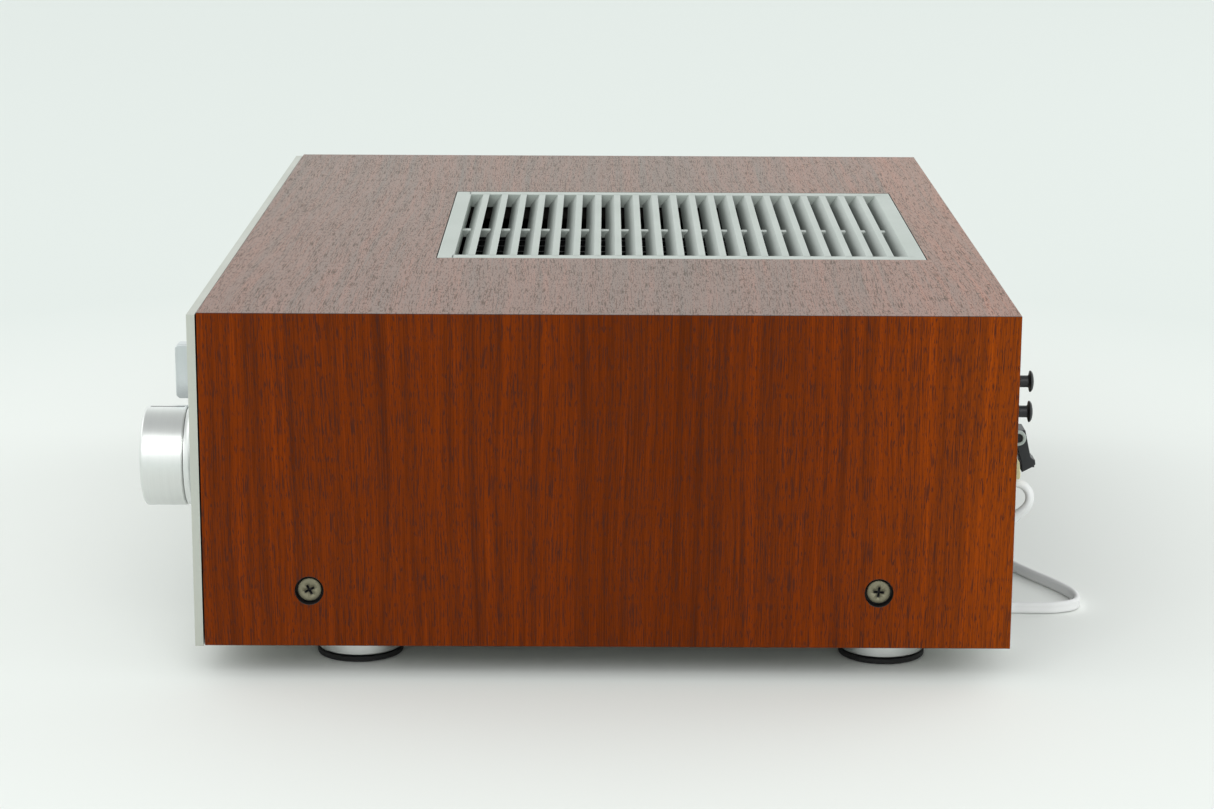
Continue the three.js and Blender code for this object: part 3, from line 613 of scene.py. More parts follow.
def moulded(name, base, roughness, grain=900.0, metallic=0.0, depth=0.00004, spread=0.12, **more):
    """Plastic, paint or a casting: a fine even texture under slight smudges."""
    finish = Finish(name, base, roughness, metallic, **more)
    texture = finish.placed(cast, Grain=grain)
    finish.shaded(texture.outputs["Speckle"], spread)
    finish.glossed(finish.placed(smudges).outputs["Amount"], roughness - 0.05, roughness + 0.08)
    return finish.bump(texture.outputs["Height"], depth, 0.4)


LACQUER = {
    "Specular Tint": (0.09, 0.05, 0.03, 1),
    "IOR": 1.75,
    "Sheen Weight": 0.15,
    "Sheen Roughness": 0.35,
    "Sheen Tint": (0.82, 1.0, 0.82, 1),
}
walnut = Finish("walnut_veneer", colour(120, 52, 18), 0.36, coordinates="UV", **LACQUER)
wood = walnut.placed(veneer)
walnut.tree.links.new(wood.outputs["Color"], walnut.shader.inputs["Base Color"])
walnut.tree.links.new(wood.outputs["Roughness"], walnut.shader.inputs["Roughness"])
walnut.bump(wood.outputs["Height"], 0.00008, 0.5)

finishes = {
    "walnut": walnut,
    "black_edge": moulded("black_paint_and_corner_shade", colour(20, 19, 19), 0.55, 1200),
    "dark_inner_board": moulded("dark_inner_board", colour(34, 28, 24), 0.8, 500, spread=0.35, depth=0.0003),
    "grey_enamel": moulded("grey_enamel", colour(168, 176, 170), 0.38, 1500, 0.15, spread=0.04),
    "louvre_enamel": moulded("louvre_enamel", colour(168, 176, 170), 0.38, 1500, 0.15, spread=0.04),
    "plate_face": brushed_metal("plate_face", colour(186, 188, 184), 0.34, (14, 14, 4200)),
    "plate_edge": brushed_metal("plate_edge", colour(190, 192, 184), 0.42, (3800, 3800, 30)),
    "bar_aluminium": brushed_metal("bar_aluminium", colour(200, 205, 206), 0.36, (4200, 4200, 24)),
    "turned_aluminium": brushed_metal("turned_aluminium", colour(222, 224, 222), 0.3, (6, 4200, 1), "UV"),
    "black_steel": moulded("black_steel", colour(26, 27, 29), 0.5, 1400, 0.3).worn(colour(120, 120, 118)),
    "zinc_steel": moulded("zinc_steel", colour(168, 168, 160), 0.38, 60, 1.0, spread=0.09, depth=0.00001),
    "nickel_screw": moulded("nickel_screw", colour(128, 124, 104), 0.6, 900, 0.8, spread=0.08, depth=0.00002),
    "black_rubber": moulded("black_rubber", colour(22, 22, 22), 0.78, 1100, depth=0.0001),
    "black_plastic": moulded("black_plastic", colour(27, 29, 32), 0.4, 1600),
    "painted_hole_shade": moulded("painted_hole_shade", colour(12, 12, 12), 0.6),
    "phenolic": moulded("phenolic", colour(120, 78, 40), 0.5, 240, spread=0.22),
    "core_iron": brushed_metal("core_iron", colour(70, 70, 74), 0.5, (60, 2000, 60), depth=0.0002),
    "winding_paper": moulded("winding_paper", colour(205, 176, 106), 0.62, 260, spread=0.18, depth=0.0002),
    "blue_sleeve": moulded("blue_sleeve", colour(40, 68, 104), 0.28, 300, spread=0.08),
    "black_anodised": moulded("black_anodised", colour(24, 24, 25), 0.36, 350, 0.4, spread=0.10),
    "cord_vinyl": moulded("cord_vinyl", colour(224, 227, 219), 0.42, 800, spread=0.05),
    "ivory_nylon": moulded("ivory_nylon", colour(205, 196, 152), 0.5, 600, spread=0.08),
    "brass": moulded("brass", colour(196, 160, 92), 0.3, 500, 1.0, spread=0.12, depth=0.00001),
    "bright_nickel": moulded("bright_nickel", colour(205, 204, 198), 0.2, 400, 1.0, spread=0.06, depth=0.00001),
    "white_plastic": moulded("white_plastic", colour(225, 222, 210), 0.4, 900, spread=0.05),
    "pale_ink": moulded("pale_ink", colour(196, 197, 190), 0.55, 900, spread=0.10),
    "red_plastic": moulded("red_plastic", colour(160, 30, 26), 0.38, 900, spread=0.10),
    "mark_ink": moulded("mark_ink", colour(44, 45, 47), 0.5, 900, spread=0.10),
}

# The louvres get painted shade: their colour darkens further down, for the shade that falls deep between the blades.
PAINTED_SHADE_DEPTH, PAINTED_SHADE_COLOUR = 5.2, colour(58, 62, 60)
louvre = finishes["louvre_enamel"]
level = add(louvre.tree, "ShaderNodeSeparateXYZ", {"Vector": louvre.place}).outputs["Z"]
# Painted shade: the blades' colour darkens towards their bottom edge.
depth = remap(louvre.tree, level, (CASE_HIGH.z - PAINTED_SHADE_DEPTH) * MM, CASE_HIGH.z * MM, 0.8, 0.0)
louvre.tree.links.new(blended(louvre.tree, depth, louvre.tint, PAINTED_SHADE_COLOUR), louvre.shader.inputs["Base Color"])
print("finishes:", len(finishes))

# %% [markdown]
# Every piece ends the same way: it gets its finish and rides on the body of the node it stands for. Real edges
# are never perfectly sharp, so most shapes are a merged copy of their node with small rounded edges, which catch
# the light as a real edge does.

# %% Helpers that finish a piece


def settled(piece):
    """Turns an object's modifiers into its plain mesh."""
    depsgraph = bpy.context.evaluated_depsgraph_get()
    mesh = bpy.data.meshes.new_from_object(piece.evaluated_get(depsgraph), depsgraph=depsgraph)
    piece.modifiers.clear()
    piece.data = mesh
    return piece


def install(piece, finish, node=None, body=None, replaces=True):
    """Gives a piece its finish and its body. It stands for the node unless replaces is False."""
    if not piece.data.materials:
        piece.data.materials.append(finishes[finish].material)
    weighted = piece.modifiers.new("flat faces stay flat", "WEIGHTED_NORMAL")
    weighted.keep_sharp = True
    settled(piece)
    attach(piece, body or NODE_BODY[node])
    if replaces and node:
        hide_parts(node)
    return piece


def refine(node, finish):
    """Keeps a node's own shape and gives it a better finish."""
    shown = frame["nodes"][node]
    shown.data.materials.clear()
    shown.data.materials.append(finishes[finish].material)


def fitted(name, bm, finish, body="housing", sharp_angle=32):
    """A small piece of its own, which stands for no node."""
    return install(new_piece(name, bm, sharp_angle), finish, body=body)


print("bodies that pieces can ride on:", len(set(NODE_BODY.values())))

# %% [markdown]
# A node's mesh comes as loose triangles, so a copy of it is merged into flat faces before its edges are rounded.
# A turned shape's profile gets its corners rounded in the same spirit, before it is spun.

# %% Rounded copies and profiles


SAME_PLACE, SAME_PLANE = 0.002, 0.3  # millimetres and degrees


def rounded_edges(bm, width, segments=2, sharp=28):
    """Rounds every sharp edge of a bmesh."""
    bm.normal_update()
    edges = [e for e in bm.edges if e.is_manifold and e.calc_face_angle(0) > math.radians(sharp)]
    bmesh.ops.bevel(bm, geom=edges, offset=width, segments=segments, profile=0.5, affect="EDGES",
                    clamp_overlap=True)


def merged_copy(node):
    """A node's mesh in millimetres, with its loose triangles merged into flat faces."""
    bm = bmesh.new()
    bm.from_mesh(frame["nodes"][node].data)
    bmesh.ops.scale(bm, vec=(1 / MM,) * 3, verts=bm.verts)
    bmesh.ops.remove_doubles(bm, verts=bm.verts, dist=SAME_PLACE)
    bmesh.ops.dissolve_limit(bm, angle_limit=math.radians(SAME_PLANE), verts=bm.verts, edges=bm.edges)
    return bm


def eased(node, finish, width=0.4, segments=2, name=None):
    """A copy of a node with rounded edges, in its place."""
    bm = merged_copy(node)
    rounded_edges(bm, width, segments)
    return install(new_piece(name or node + "_eased", bm), finish, node)


def soft_profile(points, radius, steps=4):
    """Rounds the inner corners of a profile of (u, v) points."""
    out = [Vector(points[0])]
    for before, corner, after in zip(points, points[1:], points[2:]):
        before, corner, after = Vector(before), Vector(corner), Vector(after)
        reach = min(radius, (before - corner).length * 0.45, (after - corner).length * 0.45)
        start = corner + (before - corner).normalized() * reach
        end = corner + (after - corner).normalized() * reach
        for k in range(steps + 1):
            t = k / steps
            out.append(start.lerp(corner, t).lerp(corner.lerp(end, t), t))
    return [*out, Vector(points[-1])]


print("helpers ready for", len(frame["nodes"]), "nodes")

# %% [markdown]
# Knobs, feet, screws and jacks are all turned, so one lathe makes them. It writes a UV map as it goes, in metres
# along the profile, so that brushed lines can run round the piece. Everything square is a prism: an outline
# pushed through a thickness, with its edges rounded.

# %% Lathe, prism and block
AXES = {
    "x": Matrix(((0, 0, 1), (1, 0, 0), (0, 1, 0))),
    "y": Matrix(((1, 0, 0), (0, 0, 1), (0, -1, 0))),
    "z": Matrix.Identity(3),
}


PLACES = {
    "x": lambda u, v, w: (w, u, v),
    "y": lambda u, v, w: (u, w, v),
    "z": lambda u, v, w: (u, v, w),
}
ORIGIN = (0, 0, 0)


def lathe(profile, axis, centre=ORIGIN, segments=72, bm=None):
    """Turns a profile of (radius, distance along the axis) round an axis."""
    bm = bm or bmesh.new()
    uv = bm.loops.layers.uv.get("turning") or bm.loops.layers.uv.new("turning")
    turn, centre = AXES[axis], Vector(centre)
    rows, walked, travelled = [], 0.0, []
    for i, (radius, distance) in enumerate(profile):
        if i:
            walked += (Vector(profile[i]) - Vector(profile[i - 1])).length
        travelled.append(walked)
        if radius < 1e-6:
            rows.append([bm.verts.new(centre + turn @ Vector((0, 0, distance)))])
            continue
        angles = [2 * math.pi * k / segments for k in range(segments)]
        rows.append([bm.verts.new(centre + turn @ Vector((radius * math.cos(a), radius * math.sin(a), distance)))
                     for a in angles])
    made = []
    for i, (near, far) in enumerate(zip(rows, rows[1:])):
        for k in range(segments):
            after = (k + 1) % segments
            ring = [(near[k % len(near)], k, travelled[i]), (far[k % len(far)], k, travelled[i + 1])]
            if len(far) > 1:
                ring.append((far[after], k + 1, travelled[i + 1]))
            if len(near) > 1:
                ring.append((near[after], k + 1, travelled[i]))
            if len(ring) < 3:
                continue
            face = bm.faces.new([vertex for vertex, _, _ in ring])
            for loop, (_, column, along) in zip(face.loops, ring):
                loop[uv].uv = (column / segments, along * MM)
            made.append(face)
    bmesh.ops.recalc_face_normals(bm, faces=made)
    return bm


def prism(outline, low, high, axis, bm=None, ease=0.3, segments=2):
    """A prism across an axis: the outline is [y, z] for x, [x, z] for y and [x, y] for z."""
    part = bmesh.new()
    place = PLACES[axis]
    near = [part.verts.new(place(u, v, low)) for u, v in outline]
    far = [part.verts.new(place(u, v, high)) for u, v in outline]
    count = len(outline)
    part.faces.new(near)
    part.faces.new(reversed(far))
    for k in range(count):
        part.faces.new((near[k], near[(k + 1) % count], far[(k + 1) % count], far[k]))
    bmesh.ops.recalc_face_normals(part, faces=part.faces)
    if ease:
        rounded_edges(part, ease, segments, 20)
    return merge_into(bm, part)


def merge_into(bm, part):
    """Adds one bmesh to another, and gives back the whole."""
    if bm is None:
        return part
    mesh = bpy.data.meshes.new("part")
    part.to_mesh(mesh)
    part.free()
    bm.from_mesh(mesh)
    bpy.data.meshes.remove(mesh)
    return bm


def box(x, y, z, bm=None, ease=0.3, segments=2):
    """A block from three (low, high) pairs, with rounded edges."""
    return prism([(x[0], y[0]), (x[1], y[0]), (x[1], y[1]), (x[0], y[1])], z[0], z[1], "z", bm, ease, segments)


def carved(piece, cutter):
    """Cuts one object out of another and removes the cutter."""
    modifier = piece.modifiers.new("carve", "BOOLEAN")
    modifier.operation = "DIFFERENCE"
    modifier.solver = "EXACT"
    modifier.object = cutter
    settled(piece)
    bpy.data.objects.remove(cutter)
    return piece


print("axes to turn round:", list(AXES))

# %% [markdown]
# What repeats is made by Geometry Nodes. One tree sets copies of a shape in rows and columns, another sets them
# round a circle, and a third strews parts over a circuit board. Each ends by making its copies real and giving
# them their finish, and the result is kept as a plain mesh.

# %% Geometry Nodes trees for copies


def copies_tree(name, inputs):
    tree = bpy.data.node_groups.new(name, "GeometryNodeTree")
    for socket, kind, default in [("Geometry", "NodeSocketGeometry", None), *inputs,
                                  ("Finish", "NodeSocketMaterial", None)]:
        made = tree.interface.new_socket(socket, in_out="INPUT", socket_type=kind)
        if default is not None:
            made.default_value = default
    tree.interface.new_socket("Geometry", in_out="OUTPUT", socket_type="NodeSocketGeometry")
    return tree, tree.nodes.new("NodeGroupInput").outputs


def close_tree(tree, given, points, rotation=None):
    """Sets a copy on each point, makes the copies real and gives them their finish."""
    sockets = {"Points": points, "Instance": given["Geometry"]}
    if rotation is not None:
        sockets["Rotation"] = rotation
    copies = add(tree, "GeometryNodeInstanceOnPoints", sockets)
    real = add(tree, "GeometryNodeRealizeInstances", {"Geometry": copies.outputs["Instances"]})
    painted = add(tree, "GeometryNodeSetMaterial",
                  {"Geometry": real.outputs["Geometry"], "Material": given["Finish"]})
    add(tree, "NodeGroupOutput", {"Geometry": painted.outputs["Geometry"]})


grid_tree, given = copies_tree("copies_in_a_grid", [
    ("Columns", "NodeSocketInt", 1), ("Column step", "NodeSocketVector", None),
    ("Rows", "NodeSocketInt", 1), ("Row step", "NodeSocketVector", None)])
row = add(grid_tree, "GeometryNodeMeshLine", {"Count": given["Columns"], "Offset": given["Column step"]})
column = add(grid_tree, "GeometryNodeMeshLine", {"Count": given["Rows"], "Offset": given["Row step"]})
rows = add(grid_tree, "GeometryNodeInstanceOnPoints",
           {"Points": column.outputs["Mesh"], "Instance": row.outputs["Mesh"]})
lattice = add(grid_tree, "GeometryNodeRealizeInstances", {"Geometry": rows.outputs["Instances"]})
close_tree(grid_tree, given, lattice.outputs["Geometry"])

ring_tree, given = copies_tree("copies_round_an_axis", [
    ("Count", "NodeSocketInt", 12), ("Axis", "NodeSocketVector", (0, 1, 0)),
    ("Step angle", "NodeSocketFloat", 0.5), ("First angle", "NodeSocketFloat", 0.0)])
spots = add(ring_tree, "GeometryNodeMeshLine", {"Count": given["Count"], "Offset": (0, 0, 0)})
index = add(ring_tree, "GeometryNodeInputIndex")
angle = maths(ring_tree, "ADD", maths(ring_tree, "MULTIPLY", index.outputs["Index"], given["Step angle"]),
              given["First angle"])
turns = add(ring_tree, "FunctionNodeAxisAngleToRotation", {"Axis": given["Axis"], "Angle": angle})
close_tree(ring_tree, given, spots.outputs["Mesh"], turns.outputs["Rotation"])

board_tree, given = copies_tree("parts_on_a_board", [
    ("Size X", "NodeSocketFloat", 0.1), ("Size Y", "NodeSocketFloat", 0.1), ("Columns", "NodeSocketInt", 8),
    ("Rows", "NodeSocketInt", 8), ("Kind", "NodeSocketInt", 0), ("Seed", "NodeSocketInt", 3)])
lattice = add(board_tree, "GeometryNodeMeshGrid", {
    "Size X": given["Size X"], "Size Y": given["Size Y"],
    "Vertices X": given["Columns"], "Vertices Y": given["Rows"]})
draw = add(board_tree, "FunctionNodeRandomValue", {"Seed": given["Seed"]}, data_type="INT")
draw.inputs[4].default_value, draw.inputs[5].default_value = 0, 5
other = add(board_tree, "FunctionNodeCompare", {2: draw.outputs[2], 3: given["Kind"]}, data_type="INT",
            operation="NOT_EQUAL")
chosen = add(board_tree, "GeometryNodeDeleteGeometry",
             {"Geometry": lattice.outputs["Mesh"], "Selection": other.outputs["Result"]})
quarter = add(board_tree, "FunctionNodeRandomValue", {"Seed": maths(board_tree, "ADD", given["Seed"], 1.0)},
              data_type="INT")
quarter.inputs[4].default_value, quarter.inputs[5].default_value = 0, 1
spin = add(board_tree, "FunctionNodeAxisAngleToRotation",
           {"Axis": (0, 0, 1), "Angle": maths(board_tree, "MULTIPLY", quarter.outputs[2], math.pi / 2)})
close_tree(board_tree, given, chosen.outputs["Geometry"], spin.outputs["Rotation"])


def copied(piece, tree, finish, moved=ORIGIN, **inputs):
    """Runs a copying tree on a piece, keeps the result as a plain mesh, and moves it into place in millimetres."""
    modifier = piece.modifiers.new(tree.name, "NODES")
    modifier.node_group = tree
    inputs["Finish"] = finishes[finish].material
    for item in tree.interface.items_tree:
        if item.in_out == "INPUT" and item.name in inputs:
            modifier[item.identifier] = inputs[item.name]
    settled(piece)
    piece.data.transform(Matrix.Translation(Vector(moved) * MM))
    return piece


def laid_out(piece, finish, place, columns, step, rows=1, row_step=ORIGIN):
    """Sets copies of a piece in rows and columns, with all distances in millimetres."""
    return copied(piece, grid_tree, finish, place, **{
        "Columns": columns, "Column step": tuple(v * MM for v in step),
        "Rows": rows, "Row step": tuple(v * MM for v in row_step)})


def set_round(piece, finish, place, count, step_angle, first_angle=0.0):
    """Sets copies of a piece round an axis that runs front to back, with angles in degrees."""
    return copied(piece, ring_tree, finish, place, **{
        "Count": count, "Step angle": math.radians(step_angle), "First angle": math.radians(first_angle)})


print("copying trees:", [tree.name for tree in (grid_tree, ring_tree, board_tree)])

# %% [markdown]
# The case is one long board folded into a U: two sides and a top with mitred corners, veneered outside, painted
# black on its front and rear edges, and dark inside. Its rounded corners between the top and the sides take the
# same black as painted shade, the dark line such a corner shows. The node's shape is right, so the piece is a copy
# with slightly eased edges. What is added is the UV map that unrolls the veneer, and a finish for each kind of
# face.

# %% Walnut case
bm = merged_copy("wood_cabinet")
EASE = 0.6
rounded_edges(bm, EASE, 2, 40)
unrolled = bm.loops.layers.uv.new("unrolled")
half_width = CASE_HIGH.x
middle_y = (CASE_LOW.y + CASE_HIGH.y) / 2
VENEER, EDGE, BOARD = 0, 1, 2
for face in bm.faces:
    centre, normal = face.calc_center_median(), face.normal
    outer = max(abs(centre.x) - half_width, centre.z - CASE_HIGH.z) > -EASE
    mitre = abs(normal.x) > 0.25 and abs(normal.z) > 0.25
    # The rounded corners between the top and the sides take the black finish as painted shade: the dark line such a
    # corner shows where it catches no sheen.
    if mitre and outer:
        face.material_index = EDGE
    elif outer and abs(normal.y) < 0.8 and normal.z > -0.8:
        face.material_index = VENEER
    elif abs(normal.y) > 0.8 or outer or (abs(centre.x) > half_width - 5 and centre.z < 60):
        face.material_index = EDGE
    else:
        face.material_index = BOARD
    for loop in face.loops:
        point = loop.vert.co
        if abs(normal.x) > abs(normal.z):
            along = math.copysign(half_width + CASE_HIGH.z - point.z, centre.x)
        else:
            along = point.x
        loop[unrolled].uv = ((point.y - middle_y) * MM, along * MM)
walnut_case = new_piece("walnut_case", bm)
for finish in ("walnut", "black_edge", "dark_inner_board"):
    walnut_case.data.materials.append(finishes[finish].material)
install(walnut_case, "walnut", "wood_cabinet")
print("case faces:", len(walnut_case.data.polygons))

# %% [markdown]
# The vent grille is a cast frame let into the top. Twenty-two louvre blades follow one rule: the same slanted
# blade, one pitch apart. So a single blade is modelled and a grid of one row repeats it. The frame and the
# spine under the blades are blocks with softened edges.

# %% Vent grille
vent_low, vent_high = box_of("top_grille")
VENT_RIM, BLADES, SLOT, BAR = 7.5, 22, 6.25, 3.02
LEAN, DROP, BLADE_FOOT, SPINE_HALF, SPINE_DROP = 4.4, 5.2, 2.2, 2.5, 3.2
slots_length = BLADES * (SLOT + BAR) - BAR
first_slot = (vent_low.y + vent_high.y) / 2 - slots_length / 2
last_slot_end = first_slot + slots_length
window_x = vent_high.x - VENT_RIM
blade_y, top_z = first_slot + SLOT, vent_high.z
blade = [(blade_y, top_z), (blade_y + BAR, top_z), (blade_y - LEAN + BLADE_FOOT, top_z - DROP),
         (blade_y - LEAN, top_z - DROP)]
louvres = new_piece("grille_louvres", prism(blade, -window_x - 1, window_x + 1, "x", ease=0.12))
laid_out(louvres, "louvre_enamel", ORIGIN, BLADES, (0, SLOT + BAR, 0))
install(louvres, "louvre_enamel", "top_grille")

width, height, bm = (vent_low.x, vent_high.x), (vent_low.z, top_z), None
for y in ((vent_low.y, first_slot), (last_slot_end + BAR - 0.4, vent_high.y)):
    bm = box(width, y, height, bm)
for x in ((vent_low.x, -window_x), (window_x, vent_high.x)):
    bm = box(x, (first_slot - 1, last_slot_end + BAR), height, bm)
spine_height = (vent_low.z, top_z - SPINE_DROP)
bm = box((-SPINE_HALF, SPINE_HALF), (first_slot - 1, last_slot_end + 1), spine_height, bm)
install(new_piece("grille_frame", bm), "grey_enamel", "top_grille")
print("louvre faces:", len(louvres.data.polygons))

# %% [markdown]
# The front plate is brushed along its length on its face and along each edge on its rim, so its faces take two
# finishes. Behind it lies the black panel whose edge shows as a dark line between the metal and the wood.

# %% Front plate
bm = merged_copy("front_panel")
rounded_edges(bm, 0.35, 2)
for face in bm.faces:
    face.material_index = 0 if abs(face.normal.y) > 0.7 else 1
front_plate = new_piece("front_plate", bm)
for finish in ("plate_face", "plate_edge"):
    front_plate.data.materials.append(finishes[finish].material)
install(front_plate, "plate_face", "front_panel")
for node in ("sub_panel", "rear_panel"):
    refine(node, "black_steel")
print("plate faces:", len(front_plate.data.polygons))

# %% [markdown]
# Air enters from below, so the floor of the chassis tray has three rows of punched slots under the boards. The grid
# tree lays out the punches as one object, and a single cut makes every slot at once.

# %% Chassis tray
SLOT_COLUMNS, SLOT_ROWS, SLOT_STEP, ROW_STEP = 21, 3, 8.0, 56.0
FIRST_PUNCH = (-80, -18, 0)
bm = merged_copy("chassis_tray")
rounded_edges(bm, 0.3, 2)
tray = new_piece("chassis_tray_punched", bm)
tray_floor = box_of("chassis_tray")[0].z
punch = box((-1.7, 1.7), (-21, 21), (tray_floor - 4, tray_floor + 5), ease=1.2, segments=3)
punch = new_piece("punches", punch)
laid_out(punch, "zinc_steel", FIRST_PUNCH, SLOT_COLUMNS, (SLOT_STEP, 0, 0), SLOT_ROWS, (0, ROW_STEP, 0))
carved(tray, punch)
install(tray, "zinc_steel", "chassis_tray")
print("slots in the tray:", SLOT_COLUMNS * SLOT_ROWS)

# %% [markdown]
# Knobs and feet are turned on a lathe, so each is a profile spun round its axis. The profile's corners are
# rounded first. The volume knob is a plain heavy barrel with a soft front rim, standing on a flared dial.

# %% Volume knob and its dial
knob_low, knob_high = box_of("volume_knob")
volume_x, _, volume_z = centre_of("volume_knob")
KNOB_RADIUS = (knob_high.x - knob_low.x) / 2
front, back = knob_low.y, knob_high.y
RIM_ROUNDING = 1.4
profile = [(0, front + 0.7), (16.2, front + 0.7), (17.0, front)]
for a in range(0, 91, 15):
    inward, behind = 1 - math.sin(math.radians(a)), 1 - math.cos(math.radians(a))
    profile.append((KNOB_RADIUS - RIM_ROUNDING * inward, front + RIM_ROUNDING * behind))
profile += [(KNOB_RADIUS, back - 0.8), (KNOB_RADIUS - 0.5, back), (8, back), (0, back)]
volume_knob = new_piece("volume_knob_turned", lathe(profile, "y", (volume_x, 0, volume_z), 128), 50)
install(volume_knob, "turned_aluminium", "volume_knob")

dial_low, dial_high = box_of("volume_dial")
flare = [(20.6, dial_low.y), (20.9, dial_low.y + 1.4), (21.9, dial_low.y + 2.7), (23.9, dial_low.y + 3.6),
         (26.5, dial_low.y + 4.1), (26.5, dial_high.y - 0.3), (26.1, dial_high.y)]
profile = [(5.2, dial_low.y), *flare, (5.2, dial_high.y), (5.2, dial_low.y)]
install(new_piece("volume_dial_turned", lathe(profile, "y", (volume_x, 0, volume_z), 128), 40),
        "turned_aluminium", "volume_dial")

pointer = box((-0.5, 0.5), (front + 0.64, front + 1.2), (5.5, 16.1), ease=0.1)
pointer = box((-0.5, 0.5), (front + 2.2, back - 1.2), (KNOB_RADIUS - 0.3, KNOB_RADIUS + 0.04), pointer, 0.08)
bmesh.ops.translate(pointer, verts=pointer.verts, vec=(volume_x, 0, volume_z))
fitted("volume_pointer", pointer, "mark_ink", "volume")
refine("volume_shaft", "bright_nickel")
print("knob radius:", round(KNOB_RADIUS, 2))

# %% [markdown]
# The four small knobs share one shape: a barrel with a knurled waist between two smooth rims. Sixty fine ridges
# make the knurling, set round the axis by the ring tree, on a body each, because each knob turns by itself.

# %% Small knobs
RIDGES = 60
for name in ("speaker", "bass", "treble", "balance"):
    node = f"{name}_knob"
    low, high = box_of(node)
    radius = (high.x - low.x) / 2
    middle = centre_of(node)
    profile = soft_profile([
        (0, low.y + 0.7), (radius - 3.4, low.y + 0.7), (radius - 3.0, low.y), (radius, low.y),
        (radius, low.y + 3.4), (radius - 0.55, low.y + 4.0), (radius - 0.55, high.y - 3.0), (radius, high.y - 2.4),
        (radius, high.y), (0, high.y)], 0.5)
    install(new_piece(f"{node}_turned", lathe(profile, "y", (middle.x, 0, middle.z), 96), 50),
            "turned_aluminium", node)
    ridge = box((-0.32, 0.32), (low.y + 4.0, high.y - 3.0), (radius - 0.9, radius - 0.08), ease=0.16)
    knurl = set_round(new_piece(f"{name}_knurl", ridge), "turned_aluminium", (middle.x, 0, middle.z), RIDGES,
                      360 / RIDGES)
    install(knurl, "turned_aluminium", body=NODE_BODY[node])
    mark = box((-0.45, 0.45), (low.y - 0.02, low.y + 1.0), (5, radius - 0.6), ease=0.1)
    bmesh.ops.translate(mark, verts=mark.verts, vec=(middle.x, 0, middle.z))
    fitted(f"{name}_pointer", mark, "mark_ink", NODE_BODY[node])
print("ridges on each knob:", RIDGES)

# %% [markdown]
# The selector is an upright bar with a fine brushed face, and the lever switches are small squared paddles on
# stems. Both keep their nodes' shapes with softened edges.

# %% Bar knob, levers and their switches
LEVERS = ("power_lever", "tape_lever", "loudness_lever", "filter_lever")
eased("selector_knob", "bar_aluminium", 0.55, 3, "selector_bar")
low, high = box_of("selector_knob")
bar_x = (low.x + high.x) / 2
mark = box((bar_x - 0.5, bar_x + 0.5), (low.y - 0.03, low.y + 0.4), (high.z - 8, high.z - 2), ease=0.1)
fitted("selector_pointer", mark, "mark_ink", "selector")
for node in LEVERS:
    eased(node, "bar_aluminium", 0.6, 3)
for node in ("volume_pot", "selector_switch", "speaker_switch", "bass_pot", "treble_pot", "balance_pot",
             "mode_switch_bank"):
    eased(node, "zinc_steel", 0.5)
eased("power_switch", "black_plastic", 0.6)
eased("headphone_jack", "bright_nickel", 0.3)
phones = centre_of("headphone_jack")
nut = soft_profile([(5.8, PANEL - 0.1), (8.6, PANEL - 0.1), (8.6, PANEL - 1.5), (7.6, PANEL - 2.2),
                    (5.8, PANEL - 2.2), (5.8, PANEL - 0.1)], 0.3)
nut.append(nut[0])
fitted("headphone_nut", lathe(nut, "y", (phones.x, 0, phones.z), 64), "bright_nickel")
print("levers:", len(LEVERS))

# %% [markdown]
# Printed marks tell where a control stands. They are thin raised dashes round each control, set by the ring tree,
# with no lettering.

# %% Scale marks on the front plate
SCALES = [
    ("volume", "volume_knob", 29.5, 3.0, 21, -150, 15),
    ("selector", "selector_knob", 17.5, 2.4, 5, -60, 30),
    ("speaker", "speaker_knob", 17.0, 2.4, 4, -60, 40),
    ("bass", "bass_knob", 17.0, 2.2, 11, -150, 30),
    ("treble", "treble_knob", 17.0, 2.2, 11, -150, 30),
    ("balance", "balance_knob", 17.0, 2.2, 11, -150, 30),
]
for name, node, radius, length, count, first, step in SCALES:
    middle = centre_of(node)
    dash = box((-0.35, 0.35), (PANEL - 0.06, PANEL + 0.2), (radius, radius + length), ease=0.03, segments=1)
    marks = set_round(new_piece(f"{name}_scale", dash), "mark_ink", (middle.x, 0, middle.z), count, step, first)
    install(marks, "mark_ink", body="housing")
print("scales:", len(SCALES))

# %% [markdown]
# The feet are short turned cylinders on rubber pads a little wider than themselves. The pads have shallow rings
# underneath, as moulded rubber does.

# %% Feet
for end in ("front", "rear"):
    for side in ("left", "right"):
        node = f"foot_{end}_{side}"
        low, high = box_of(node)
        middle, radius = centre_of(node), (high.x - low.x) / 2
        profile = soft_profile([(0, low.z), (radius - 0.5, low.z), (radius, low.z + 0.5), (radius, high.z),
                                (0, high.z)], 0.25)
        install(new_piece(node + "_turned", lathe(profile, "z", (middle.x, middle.y, 0), 128), 50),
                "turned_aluminium", node)
        pad = f"foot_pad_{end}_{side}"
        low, high = box_of(pad)
        radius = (high.x - low.x) / 2
        rings = [(0, 0.0), (5.6, 0.0)]
        for inner in (6.0, 10.0, 14.0):
            rings += [(inner, 0.5), (inner + 0.8, 0.5), (inner + 1.2, 0.0), (inner + 3.6, 0.0)]
        profile = [*rings[:-1], (radius - 0.5, 0.0), (radius - 0.12, 0.15), (radius, 0.5), (radius, high.z - 0.25),
                   (radius - 0.25, high.z), (0, high.z)]
        install(new_piece(pad + "_moulded", lathe(profile, "z", (middle.x, middle.y, 0), 96), 50),
                "black_rubber", pad)
print("feet:", 4)

# %% [markdown]
# Four cross-slot screws hold the case to the chassis. The head is turned, and its cross is cut by two crossed
# wedges that narrow inward, as the driver's point does. Each screw stopped at its own angle.

